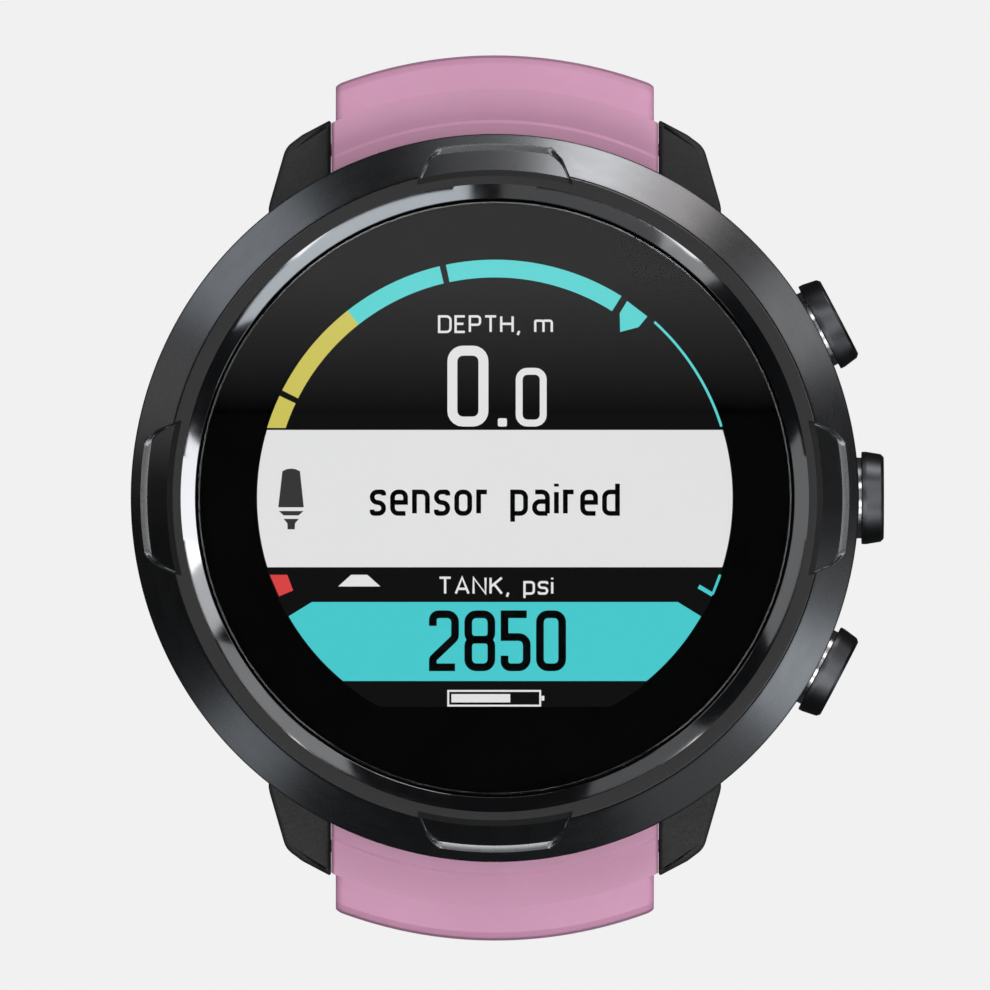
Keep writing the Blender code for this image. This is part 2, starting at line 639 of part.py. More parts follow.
def make_strap_pins():
    """Each strap turns on a tube with one fixed tip; a sprung pin with a lever slides in its other end."""
    for name, side in (("12", 1), ("6", -1)):
        place = along_x(side * PIVOT_Y, PIVOT_Z)
        tube = [(0, -PIN_REACH), (PIN_TIP_R, -PIN_REACH), (PIN_TIP_R, -11.5), (PIN_R, -11.5), (PIN_R, 11.5)]
        tube += [(0.6, 11.5), (0.6, 3.4), (0, 3.4)]
        made = turned(f"strap_pin_{name}", tube, STEEL, place, SMALL_SIDES)
        near, far = sorted((side * (PIVOT_Y - 0.6), side * (PIVOT_Y + 0.6)))
        window_low, window_high = (LEVER_X - 1.75, near, 1.0), (LEVER_X + 0.6, far, PIVOT_Z)
        cut(made, box(f"pin_window_tool_{name}", window_low, window_high, CHIP))
        shaft = [(0, 4.8), (PIN_TIP_R, 4.8), (PIN_TIP_R, PIN_REACH), (0, PIN_REACH)]
        origin = place @ Vector((0, 0, LEVER_X))
        release = turned(f"release_pin_{name}", shaft, STEEL, place, SMALL_SIDES, origin)
        lever_place = Matrix.Translation((LEVER_X, side * PIVOT_Y, PIVOT_Z))
        lever = [(0, -2.9), (0.38, -2.9), (0.38, -0.1), (0, -0.1)]
        join(release, turned(f"lever_tool_{name}", lever, STEEL, lever_place, 8))


# ---------------------------------------------------------------- buckle and keepers


def buckle_frame_place():
    """The buckle's frame: x across, u away from the strap (-Y), w out of the wrist side (-Z)."""
    depth = SHOULDER_LOW - BUCKLE_LEAD - BUCKLE_BEND_R
    bar_y = STRAP_OUT_Y - STRAP_THICK / 2 - BUCKLE_BEND_R - BUCKLE_STRAIGHT
    return Matrix(((1, 0, 0, 0), (0, -1, 0, bar_y), (0, 0, -1, depth), (0, 0, 0, 1)))


def bar_along_x(place):
    """The bar's own frame, its Z axis across the strap."""
    middle = place.translation
    return along_x(middle.y, middle.z)


def make_buckle(strap):
    place = buckle_frame_place()
    bar_place = bar_along_x(place)
    origin = place.translation
    outline = [(FRAME_HALF, -1.9), (FRAME_HALF, FRAME_END - 2.4), (FRAME_HALF - 0.7, FRAME_END - 0.7)]
    outline += [(FRAME_HALF - 2.4, FRAME_END), (-FRAME_HALF + 2.4, FRAME_END)]
    outline += [(-FRAME_HALF + 0.7, FRAME_END - 0.7), (-FRAME_HALF, FRAME_END - 2.4), (-FRAME_HALF, -1.9)]
    outline += [(-FRAME_ARM, -1.9), (-FRAME_ARM, FRAME_BAR - 1), (-FRAME_ARM + 1, FRAME_BAR)]
    outline += [(FRAME_ARM - 1, FRAME_BAR), (FRAME_ARM, FRAME_BAR - 1), (FRAME_ARM, -1.9)]
    frame = prism(
        "buckle_frame", outline, -FRAME_HALF_THICK, FRAME_HALF_THICK, BLACK_STEEL, place, origin
    )
    reach = 13.0
    hole = [(0, -reach), (1.0, -reach), (1.0, reach), (0, reach)]
    cut(frame, turned("bar_hole_tool", hole, CHIP, bar_place, SMALL_SIDES))
    bar = [(0, 0.1 - reach), (BAR_R, 0.1 - reach), (BAR_R, reach - 0.1), (0, reach - 0.1)]
    turned("buckle_pin", bar, STEEL, bar_place, SMALL_SIDES)
    bore = [(0, -12), (BAR_BORE_R, -12), (BAR_BORE_R, 12), (0, 12)]
    cut(strap, turned("bar_bore_tool", bore, CHIP, bar_place, SMALL_SIDES))
    cut(strap, box("notch_tool", (-NOTCH_HALF, -2.6, -3), (NOTCH_HALF, 3, 3), CHIP, place))
    make_tongue(place, bar_place, origin)


def make_tongue(place, bar_place, origin):
    """The tongue's side view, extruded across: an eye round the bar and an arm over the frame."""
    eye_r = 1.8
    outline = []
    for i in range(9):
        turn = math.radians(65 + 30 * i)
        outline.append((eye_r * math.cos(turn), eye_r * math.sin(turn)))
    outline += [(4.0, 0.85), (9.0, 1.4), (14.6, 1.4), (15.2, 1.8), (14.8, 2.3), (9.0, 2.5), (4.0, 2.2)]
    side_view = place @ Matrix(((0, 0, 1, 0), (1, 0, 0, 0), (0, 1, 0, 0), (0, 0, 0, 1)))
    tongue = prism(
        "buckle_tongue", outline, -TONGUE_HALF, TONGUE_HALF, BLACK_STEEL, side_view, origin
    )
    bore = [(0, -3), (1.02, -3), (1.02, 3), (0, 3)]
    cut(tongue, turned("tongue_bore_tool", bore, CHIP, bar_place, SMALL_SIDES))


def make_keepers():
    """Two loops round the straight end of the buckle strap, with room for the other strap's tail."""
    place = buckle_frame_place()
    depth = place.translation.z
    wrist_side, far_side = depth + 1.6, depth - 4.7
    for name, start in (("fixed_keeper", -9.2), ("free_keeper", -15.7)):
        across = rounded_box(-12.5, 12.5, far_side - 1.1, wrist_side + 1.1, 1.6)
        upright = Matrix(((1, 0, 0, 0), (0, 0, -1, 0), (0, 1, 0, 0), (0, 0, 0, 1)))
        low = start - place.translation.y
        loop = prism(name, across, low, low + KEEPER_WIDTH, PINK_SILICONE, upright)
        inside = rounded_box(-11.3, 11.3, far_side, wrist_side, 0.6)
        cut(loop, prism(f"{name}_tool", inside, low - 1, low + KEEPER_WIDTH + 1, CHIP, upright))


def main():
    clear_scene()
    make_mid_case()
    make_bezel()
    make_seals()
    make_back()
    make_display()
    make_electronics()
    make_buttons()
    strap = make_buckle_strap()
    make_hole_strap()
    make_strap_pins()
    make_buckle(strap)
    make_keepers()


main()
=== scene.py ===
import math

import bmesh
import bpy
import numpy as np
from mathutils import Matrix, Vector


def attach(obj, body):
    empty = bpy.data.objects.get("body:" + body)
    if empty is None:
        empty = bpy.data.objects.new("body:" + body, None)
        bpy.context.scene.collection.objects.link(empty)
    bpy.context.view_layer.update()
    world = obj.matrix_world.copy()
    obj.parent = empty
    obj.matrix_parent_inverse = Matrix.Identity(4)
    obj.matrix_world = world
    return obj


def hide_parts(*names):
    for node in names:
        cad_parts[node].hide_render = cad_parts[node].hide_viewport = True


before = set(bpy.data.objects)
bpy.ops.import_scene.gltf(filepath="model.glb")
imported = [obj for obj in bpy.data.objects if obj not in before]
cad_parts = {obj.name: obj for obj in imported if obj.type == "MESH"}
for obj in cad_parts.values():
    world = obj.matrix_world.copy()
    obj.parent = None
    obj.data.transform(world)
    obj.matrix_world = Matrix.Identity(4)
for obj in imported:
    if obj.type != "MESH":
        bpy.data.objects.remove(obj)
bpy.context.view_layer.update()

# Looks for a wrist dive computer. Lengths below are millimetres and angles degrees, in the CAD frame:
# +Z out through the crystal, +Y to 12 o'clock, +X to the buttons. raw() turns millimetres into metres.
MM = 0.001

# Case and bezel
BEZEL_R, SLOPE_FOOT, SLOPE_TOP_R, SLOPE_TOP, BEZEL_TOP = 26.5, 14.0, 24.0, 16.25, 16.5
RIM_R, CHAMFER_R, CHAMFER_FOOT = 22.85, 21.78, 15.9
RECESS_EDGE_R, RECESS_OUTER_R, RECESS_DEPTH = 23.43, 25.55, 0.45
RECESS_INNER_DEG, RECESS_OUTER_DEG, RECESS_CORNER_R = 14.1, 10.6, 1.0
LEDGE_LOW_R, LEDGE_HIGH_R = 25.3, 25.79
CASE_R, SEAT, COLLAR_R, COLLAR_TOP, CAVITY_R = 25.6, 8.4, 23.6, 11.6, 21.5
LUG_FACE, LUG_START_Y, POCKET_FACE = 12.0, 20.6, 22.95
SCREW_RING_R = 19.0
PIVOT_Y, PIVOT_Z, LEVER_X = 25.4, 4.5, 9.8
BACK_R, BACK_THICK, WELL_Y = 20.5, 1.2, 13.0

# Crystal and display; the layers are the (low, high) heights of its thin plates
CRYSTAL_R, CRYSTAL_LOW, CRYSTAL_TOP = 21.58, 14.1, 15.9
BACKDROP, LOWER, UPPER = (13.205, 13.215), (13.22, 13.27), (13.275, 13.32)
SCREEN_R = 17.3

# Buttons: the angle from +X at which each one's axis points, and the height of the axes
BUTTON_ANGLES = {"top": 27.65, "middle": 0.0, "bottom": -27.65}
BUTTON_Z = 5.1

# Strap
WIDE, HALF, HALF_TIP = 11.92, 11.6, 11.0
STRAP_OUT_Y, STRAP_THICK, SHOULDER_LOW = 32.3, 3.1, -2.4
BUCKLE_RUNS = [("line", 15.6, 0), ("arc", 14.95, 90), ("line", 19.8, 0)]
HOLE_RUNS = [("line", 32.6, 0), ("arc", 17.65, 90), ("line", 26.2, 0), ("arc", 17.65, 75)]
TIP_LONG, TIP_NARROWING, TIP_EDGE = 8.0, 5.0, 0.7
SLOT_COUNT, SLOT_START, SLOT_PITCH, SLOT_WIDE, SLOT_LONG = 12, 34.0, 6.4, 4.4, 2.4
BAR_Y, BAR_Z = -4.0, -32.95
EYE_R, BAND_END = 1.9, 5.0

# Stage and materials
FLOOR_Z, LAMP_DISTANCE = -66.0, 600
NOISE_LOW, NOISE_HIGH = 0.3, 0.7
LOOKS = {}


# ---- meshes


def raw(name, points, faces):
    """An object from points in millimetres, its faces turned outwards."""
    mesh = bpy.data.meshes.new(name)
    mesh.from_pydata([Vector(point) * MM for point in points], [], faces)
    shape = bmesh.new()
    shape.from_mesh(mesh)
    bmesh.ops.recalc_face_normals(shape, faces=shape.faces)
    shape.to_mesh(mesh)
    shape.free()
    made = bpy.data.objects.new(name, mesh)
    bpy.context.scene.collection.objects.link(made)
    return made


def carve(body, tools, operation="DIFFERENCE"):
    """Cuts tools from a body, or joins them to it, and removes them."""
    for tool in tools:
        boolean = body.modifiers.new(tool.name, "BOOLEAN")
        boolean.operation = operation
        boolean.solver = "EXACT"
        boolean.object = tool
    graph = bpy.context.evaluated_depsgraph_get()
    result = bpy.data.meshes.new_from_object(body.evaluated_get(graph))
    body.modifiers.clear()
    body.data = result
    for tool in tools:
        bpy.data.objects.remove(tool)


def piece(made, body, slot, nodes=(), sharp=32, look=None):
    """Shades a finished shape, gives it its slot's material, and lets it ride in place of CAD nodes."""
    made.data.shade_smooth()
    made.data.set_sharp_from_angle(angle=math.radians(sharp))
    made.data.materials.clear()
    look = look or LOOKS[slot]
    for one in look if isinstance(look, list) else [look]:
        made.data.materials.append(one)
    normals = made.modifiers.new("even_shading", "WEIGHTED_NORMAL")
    normals.keep_sharp = True
    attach(made, body)
    if nodes:
        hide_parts(*nodes)


def skin(count, rings, closed=False):
    """Faces of a tube through rings of count points: joined into a loop, or capped at both ends."""
    size = count * rings
    faces = [] if closed else [tuple(reversed(range(count))), tuple(range(size - count, size))]
    for here in range(0, size if closed else size - count, count):
        there = (here + count) % size
        for i in range(count):
            j = (i + 1) % count
            faces.append((here + i, here + j, there + j, there + i))
    return faces


def rounded(corners, closed=True, fine=12):
    """A path through (x, y) or (x, y, radius) corners, with an arc of that radius at the corner."""
    path = []
    count = len(corners)
    for i, corner in enumerate(corners):
        here = Vector(corner[:2])
        inner = closed or 0 < i < count - 1
        if len(corner) < 3 or not inner:
            path.append(tuple(here))
            continue
        to_last = Vector(corners[i - 1][:2]) - here
        to_next = Vector(corners[(i + 1) % count][:2]) - here
        half = to_last.angle(to_next) / 2
        reach = min(corner[2] / math.tan(half), 0.49 * to_last.length, 0.49 * to_next.length)
        radius = reach * math.tan(half)
        middle = here + (to_last.normalized() + to_next.normalized()).normalized() * radius / math.sin(half)
        first = here + to_last.normalized() * reach - middle
        last = here + to_next.normalized() * reach - middle
        steps = max(2, math.ceil((180 - math.degrees(2 * half)) / fine))
        sweep = first.angle_signed(last)
        for j in range(steps + 1):
            turned = first.copy()
            turned.rotate(Matrix.Rotation(-sweep * j / steps, 2))
            path.append(tuple(middle + turned))
    return path


def lathe(name, corners, place=Matrix(), sides=96):
    """A closed profile of (radius, height) corners turned about the Z axis of place."""
    points = []
    rings = []
    for radius, height in rounded(corners):
        count = sides if radius > 1e-6 else 1
        rings.append([len(points) + i for i in range(count)])
        for i in range(count):
            turn = 2 * math.pi * i / sides
            points.append(place @ Vector((radius * math.cos(turn), radius * math.sin(turn), height)))
    faces = []
    for here, there in zip(rings, rings[1:] + rings[:1]):
        for i in range(sides):
            j = (i + 1) % sides
            if len(here) > 1 and len(there) > 1:
                faces.append((here[i], here[j], there[j], there[i]))
            elif len(here) > 1:
                faces.append((here[i], here[j], there[0]))
            elif len(there) > 1:
                faces.append((here[0], there[j], there[i]))
    return raw(name, points, faces)


def rod(name, radius, low, high, place, sides=48):
    return lathe(name, [(0, low), (radius, low), (radius, high), (0, high)], place, sides)


def across_corner(before, after):
    """The unit direction to the left across a path's corner, and how squarely it crosses the path."""
    before, after = before.normalized(), after.normalized()
    across = Vector((-before.y - after.y, before.x + after.x)).normalized()
    return across, across.dot(Vector((-before.y, before.x)))


def inset(outline, amount):
    """An outline moved inwards; its points run counter-clockwise."""
    moved = []
    for i, point in enumerate(outline):
        here = Vector(point)
        following = Vector(outline[(i + 1) % len(outline)])
        across, square = across_corner(here - Vector(outline[i - 1]), following - here)
        moved.append(tuple(here + across * amount / max(0.5, square)))
    return moved


def slab(name, outline, low, high, edge=0.0, place=Matrix()):
    """A counter-clockwise outline raised from low to high, its rims rounded by edge.

    low and high are heights, or functions that give a height for x and y.
    """
    low_at = low if callable(low) else lambda x, y: low
    high_at = high if callable(high) else lambda x, y: high
    steps = 4
    turns = [math.pi / 2 * i / steps for i in range(steps + 1)] if edge else [math.pi / 2]
    levels = [(edge * (1 - math.sin(turn)), edge * (1 - math.cos(turn))) for turn in turns]
    points = []
    for from_low, sequence in ((True, levels), (False, levels[::-1])):
        for inward, rise in sequence:
            for x, y in inset(outline, inward):
                height = low_at(x, y) + rise if from_low else high_at(x, y) - rise
                points.append(place @ Vector((x, y, height)))
    return raw(name, points, skin(len(outline), 2 * len(levels)))


def box(name, low, high):
    return slab(name, oblong(low[0], high[0], low[1], high[1]), low[2], high[2])


def oblong(x_low, x_high, y_low, y_high, radius=0):
    corners = [(x_low, y_low), (x_high, y_low), (x_high, y_high), (x_low, y_high)]
    return rounded([(*corner, radius) for corner in corners]) if radius else corners


def along_x(y, z):
    """A frame whose Z axis lies along the world's X, through a point of the YZ plane."""
    return Matrix(((0, 0, 1, 0), (1, 0, 0, y), (0, 1, 0, z), (0, 0, 0, 1)))


def along_button(angle):
    """A frame whose Z axis runs outwards through a button, from the case's centre line."""
    sine, cosine = math.sin(math.radians(angle)), math.cos(math.radians(angle))
    return Matrix(((-sine, 0, cosine, 0), (cosine, 0, sine, 0), (0, 1, 0, BUTTON_Z), (0, 0, 0, 1)))


def at(x, y, z=0.0):
    return Matrix.Translation((x, y, z))


# ---- materials


def linear(red, green, blue):
    """A display colour, 0 to 255 a channel, as linear light."""
    return tuple(
        ((value / 255 + 0.055) / 1.055) ** 2.4 if value > 10 else value / 3295 for value in (red, green, blue)
    )


PALE = (*linear(241, 241, 241), 1.0)


class Nodes:
    """The node tree of a material or world, with short ways to add to it."""

    def __init__(self, owner):
        owner.use_nodes = True
        self.tree = owner.node_tree

    def fill(self, node, inputs):
        """Sets a node's inputs to plain values, or links them to other nodes' outputs."""
        for key, value in inputs.items():
            if isinstance(value, bpy.types.NodeSocket):
                self.tree.links.new(value, node.inputs[key])
            else:
                node.inputs[key].default_value = value
        return node

    def node(self, kind, inputs, **settings):
        made = self.tree.nodes.new(f"ShaderNode{kind}")
        for key, value in settings.items():
            setattr(made, key, value)
        return self.fill(made, inputs)

    def camera_only(self, seen, unseen):
        """Mixes two shaders: the first for what the camera sees, the second for all other rays."""
        path = self.node("LightPath", {})
        mix = self.node("MixShader", {"Fac": path.outputs["Is Camera Ray"], 1: unseen, 2: seen})
        return mix.outputs[0]

    def show(self, shader, output="Material Output"):
        self.fill(self.tree.nodes[output], {"Surface": shader})


class Surface(Nodes):
    """A Principled material whose colour, roughness and bump vary with noise in object space."""

    def __init__(self, name):
        self.material = bpy.data.materials.new(name)
        super().__init__(self.material)
        self.shader = self.tree.nodes["Principled BSDF"]

    def fixed(self, **values):
        """Sets sockets that are the same all over, such as Metallic."""
        self.fill(self.shader, {key.replace("_", " "): value for key, value in values.items()})

    def coordinates(self):
        return self.node("TexCoord", {}).outputs["Object"]

    def turned(self, around, across):
        """Coordinates for a brushed ring: slow along the circle, quick across it, with no seam."""
        split = self.node("SeparateXYZ", {0: self.coordinates()}).outputs
        flat = self.node("CombineXYZ", {"X": split["X"], "Y": split["Y"]}).outputs[0]
        length = self.node("VectorMath", {0: flat}, operation="LENGTH").outputs["Value"]
        unit = self.node("VectorMath", {0: flat}, operation="NORMALIZE").outputs[0]
        slow = self.node("VectorMath", {0: unit, "Scale": around}, operation="SCALE").outputs[0]
        out = self.node("Math", {0: length, 1: split["Z"]}, operation="ADD").outputs[0]
        quick = self.node("Math", {0: out, 1: across}, operation="MULTIPLY").outputs[0]
        lift = self.node("CombineXYZ", {"Z": quick}).outputs[0]
        return self.node("VectorMath", {0: slow, 1: lift}, operation="ADD").outputs[0]

    def noise(self, vector, scale, detail):
        return self.node("TexNoise", {"Vector": vector, "Scale": scale, "Detail": detail}).outputs["Fac"]

    def spread(self, value, low, high):
        """Maps a noise value to a range."""
        limits = {"From Min": NOISE_LOW, "From Max": NOISE_HIGH, "To Min": low, "To Max": high}
        return self.node("MapRange", {"Value": value, **limits}).outputs["Result"]

    def colours(self, value, dark, light):
        made = self.node("ValToRGB", {"Fac": value})
        stops = made.color_ramp.elements
        for stop, position, colour in zip(stops, (NOISE_LOW, NOISE_HIGH), (dark, light)):
            stop.position = position
            stop.color = (*colour, 1.0)
        return made.outputs["Color"]

    def bump(self, value, distance, strength=1.0):
        inputs = {"Distance": distance, "Strength": strength, "Height": value}
        return self.node("Bump", inputs).outputs["Normal"]

    def finish(self, colour, roughness, normal=None):
        self.fill(self.shader, {"Base Color": colour, "Roughness": roughness})
        if normal is not None:
            self.fill(self.shader, {"Normal": normal})
        return self.material


def moulded(name, dark, light, rough, grain=5200, depth=0.012, **fixed):
    """Plastic, rubber or silicone: a soft mottle, with a fine moulded grain."""
    made = Surface(name)
    made.fixed(**fixed)
    place = made.coordinates()
    broad = made.noise(place, 170, 4)
    fine = made.noise(place, grain, 2)
    colour = made.colours(broad, dark, light)
    normal = made.bump(fine, depth * MM)
    return made.finish(colour, made.spread(fine, *rough), normal)


def metal(name, dark, light, rough, grain=900, depth=0.002, brushed=None, **fixed):
    """Metal with a fine polish, or brushed in circles about the case's axis."""
    made = Surface(name)
    made.fixed(Metallic=1.0, **fixed)
    place = made.turned(*brushed) if brushed else made.coordinates()
    fine = made.noise(place, 1.0 if brushed else grain, 4)
    broad = made.noise(made.coordinates(), 120, 2)
    normal = made.bump(fine, depth * MM, 0.5)
    return made.finish(made.colours(broad, dark, light), made.spread(fine, *rough), normal)


def lit(name, colour, strength=1.08):
    """A lit display area: an even glow with the faint grid of the panel's cells."""
    made = Surface(name)
    made.fixed(Emission_Color=(*colour, 1.0), Emission_Strength=strength, Specular_IOR_Level=0.0)
    cells = made.noise(made.coordinates(), 7000, 1)
    base = made.colours(cells, tuple(0.02 * c for c in colour), tuple(0.03 * c for c in colour))
    return made.finish(base, made.spread(cells, 0.5, 0.6))


def make_glass():
    """Mineral crystal: clear, polished, with a trace of haze."""
    made = Surface("crystal_glass")
    made.fixed(Transmission_Weight=1.0, IOR=1.52)
    haze = made.noise(made.coordinates(), 60, 2)
    tint = made.colours(haze, (0.985, 0.99, 0.99), (1.0, 1.0, 1.0))
    return made.finish(tint, made.spread(haze, 0.0, 0.003))


def make_board_material():
    """Green solder mask with a mesh of copper tracks beneath it."""
    made = Surface("circuit_board")
    place = made.coordinates()
    tracks = made.node("TexBrick", {
        "Vector": place, "Scale": 900, "Mortar Size": 0.03, "Color1": (0.012, 0.09, 0.04, 1),
        "Color2": (0.016, 0.12, 0.055, 1), "Mortar": (0.05, 0.24, 0.1, 1),
    })
    return made.finish(tracks.outputs["Color"], made.spread(made.noise(place, 2500, 2), 0.3, 0.5))


def make_materials():
    """Every material by its record slot, with a few extra finishes."""
    slope = (12, 14000)
    return {
        "case_plastic": moulded("case_plastic", (0.009, 0.009, 0.0095), (0.012, 0.012, 0.0125), (0.62, 0.75)),
        "bezel_steel": metal(
            "bezel_satin", (0.158, 0.161, 0.168), (0.163, 0.166, 0.173), (0.26, 0.29), depth=0.0001,
            brushed=slope
        ),
        "bezel_rim": moulded(
            "bezel_rim", (0.0095, 0.0095, 0.01), (0.0115, 0.0115, 0.012), (0.55, 0.6), depth=0.0002,
            Specular_IOR_Level=0.3
        ),
        "bezel_polished": metal(
            "bezel_polished", (0.25, 0.255, 0.265), (0.27, 0.275, 0.285), (0.07, 0.1), depth=0.0001
        ),
        "button_black": metal(
            "button_black", (0.075, 0.077, 0.083), (0.083, 0.086, 0.092), (0.34, 0.38), depth=0.0001
        ),
        "buckle_black": metal(
            "buckle_black", (0.07, 0.07, 0.075), (0.1, 0.1, 0.105), (0.3, 0.42), grain=3000
        ),
        "bright_steel": metal("bright_steel", (0.5, 0.5, 0.51), (0.6, 0.6, 0.61), (0.16, 0.26)),
        "brushed_back_steel": metal(
            "brushed_back_steel", (0.36, 0.36, 0.37), (0.46, 0.46, 0.47), (0.24, 0.4), depth=0.004,
            brushed=(30, 16000)
        ),
        "crystal_glass": make_glass(),
        "display_black": moulded(
            "display_black", (0.0012, 0.0012, 0.0013), (0.002, 0.002, 0.002), (0.5, 0.6), depth=0.0005,
            Specular_IOR_Level=0.0
        ),
        "diffuser_white": moulded("diffuser_white", (0.7, 0.7, 0.7), (0.8, 0.8, 0.8), (0.5, 0.6)),
        "grey_plastic": moulded("grey_plastic", (0.14, 0.14, 0.15), (0.19, 0.19, 0.2), (0.45, 0.6)),
        "circuit_board": make_board_material(),
        "chip_black": moulded("chip_black", (0.012, 0.012, 0.013), (0.02, 0.02, 0.021), (0.4, 0.5)),
        "battery_foil": metal("battery_foil", (0.5, 0.51, 0.52), (0.62, 0.63, 0.64), (0.3, 0.45), depth=0.02),
        "gold_contact": metal("gold_contact", (0.62, 0.42, 0.14), (0.75, 0.54, 0.2), (0.18, 0.3)),
        "black_rubber": moulded("black_rubber", (0.012, 0.012, 0.012), (0.02, 0.02, 0.02), (0.7, 0.85)),
        "pink_silicone": moulded(
            "pink_silicone", (0.585, 0.285, 0.435), (0.615, 0.305, 0.46), (0.46, 0.56), grain=6500,
            depth=0.006, Subsurface_Weight=0.12, Subsurface_Scale=0.0006
        ),
    }


# ---- bezel


def slope_height(radius):
    share = (radius - SLOPE_TOP_R) / (BEZEL_R - SLOPE_TOP_R)
    return SLOPE_TOP + share * (SLOPE_FOOT - SLOPE_TOP)


def recess_floor(radius):
    """Height of a recess's floor: level with the rim inside, below the slope outside."""
    share = (radius - RECESS_EDGE_R) / (RECESS_OUTER_R - RECESS_EDGE_R)
    return BEZEL_TOP + share * (slope_height(RECESS_OUTER_R) - RECESS_DEPTH - BEZEL_TOP)


def recess_half(radius):
    """Half the recess's angle at a radius."""
    share = min(1.0, max(0.0, (radius - RECESS_EDGE_R) / (RECESS_OUTER_R - RECESS_EDGE_R)))
    return RECESS_INNER_DEG + share * (RECESS_OUTER_DEG - RECESS_INNER_DEG)


def recess_share(radius, offset):
    """How far the bezel's surface drops to the recess's floor: 1 inside it, 0 outside."""
    side = radius * math.radians(recess_half(radius) - abs(offset))
    outer = LEDGE_HIGH_R - radius
    side_wall, outer_wall = 0.15, LEDGE_HIGH_R - LEDGE_LOW_R
    if side < RECESS_CORNER_R and outer < RECESS_CORNER_R:
        across, out = RECESS_CORNER_R - side, RECESS_CORNER_R - outer
        depth = RECESS_CORNER_R - math.hypot(across, out)
        wall = (side_wall * across ** 2 + outer_wall * out ** 2) / (across ** 2 + out ** 2)
        return min(1.0, max(0.0, depth / wall))
    return min(1.0, max(0.0, side / side_wall), max(0.0, outer / outer_wall))


def bezel_rows():
    """The bezel's (radius, height) profile, with a row at each edge of the recesses."""
    corners = [
        (23.85, 8.9, 0.1), (25.9, 8.9, 0.25), (26.35, 10.6), (26.5, 12.4, 2.0), (26.5, SLOPE_FOOT, 0.22),
        (SLOPE_TOP_R, SLOPE_TOP, 0.1), (23.88, BEZEL_TOP, 0.1), (RIM_R, BEZEL_TOP, 0.04),
        (CHAMFER_R, CHAMFER_FOOT, 0.07), (CHAMFER_R, 13.6), (20.6, 13.6), (20.6, 11.9), (23.85, 11.9),
    ]
    path = rounded(corners, fine=15)
    step, clear = 0.09, 0.04
    rows = []
    for here, there in zip(path, path[1:] + path[:1]):
        rows.append(here)
        if not (there[1] > here[1] and 23.9 < there[0] < here[0] - 0.3 and here[1] > 13.5):
            continue
        radii = [here[0] - step * i for i in range(1, int((here[0] - there[0]) / step))]
        radii = [r for r in radii if abs(r - LEDGE_LOW_R) > clear and abs(r - LEDGE_HIGH_R) > clear]
        for radius in sorted(radii + [LEDGE_LOW_R, LEDGE_HIGH_R], reverse=True):
            share = (here[0] - radius) / (here[0] - there[0])
            rows.append((radius, here[1] + share * (there[1] - here[1])))
    rim = [(r, BEZEL_TOP) for r in (23.7, 23.6, 23.5, RECESS_EDGE_R)]
    start = max(i for i, row in enumerate(rows) if row[1] > BEZEL_TOP - 1e-6 and row[0] > 23.75)
    return rows[: start + 1] + rim + rows[start + 1:]


def quarter_columns():
    """Offsets from a recess's middle in edge units: 0 its middle, 1 its side edge, 2 the quarter's end."""
    inside = [0.0, 0.12, 0.24, 0.36, 0.48, 0.56, 0.62, 0.67]
    inside += [0.7 + 0.012 * i for i in range(24)] + [0.9885, 1.0]
    outside = [1.004, 1.015, 1.035, 1.06, 1.1] + [1.1 + 0.9 * i / 34 for i in range(1, 35)]
    return inside + outside


def make_bezel():
    rows = bezel_rows()
    units = quarter_columns()
    columns = []
    for quarter in range(4):
        columns += [(quarter, -unit) for unit in reversed(units[1:-1])] + [(quarter, unit) for unit in units]
    points = []
    for radius, height in rows:
        half = recess_half(radius)
        for quarter, unit in columns:
            size = abs(unit)
            offset = size * half if size <= 1 else half + (size - 1) * (45 - half)
            drop = 0.0
            if height > SLOPE_FOOT - 0.3 and radius > RECESS_EDGE_R:
                drop = recess_share(radius, offset) * max(0.0, height - recess_floor(radius))
            turn = math.radians(90 * quarter + math.copysign(offset, unit))
            points.append((radius * math.cos(turn), radius * math.sin(turn), height - drop))
    finishes = []
    for i, row in enumerate(rows):
        following = rows[(i + 1) % len(rows)]
        chamfer = row[0] < RIM_R + 0.02 and following[1] > CHAMFER_FOOT - 0.2
        rim = row[1] > BEZEL_TOP - 0.01 and following[1] > BEZEL_TOP - 0.01
        finishes += [2 if chamfer and not rim else int(rim)] * len(columns)
    made = raw("bezel", points, skin(len(columns), len(rows), True))
    zones = [LOOKS["bezel_steel"], LOOKS["bezel_rim"], LOOKS["bezel_polished"]]
    piece(made, "case", "bezel_steel", ["bezel_ring"], 24, zones)
    made.data.polygons.foreach_set("material_index", finishes)


# ---- mid case and case back


def sloping(height, fall):
    """A lug's top or bottom: a height that falls away from the case."""
    return lambda x, y: height - fall * (abs(y) - LUG_START_Y)


def lug_outline(side_x, side_y):
    root = LUG_FACE - 0.03
    corners = [
        (root, 19.6), (16.1, 19.4), (16.6, 20.9, 2.0), (15.25, 25.6, 1.6), (14.05, 26.5, 1.4),
        (root, 27.6, 0.12),
    ]
    outline = [(side_x * x, side_y * y) for x, y in rounded(corners)]
    return outline if side_x * side_y > 0 else outline[::-1]


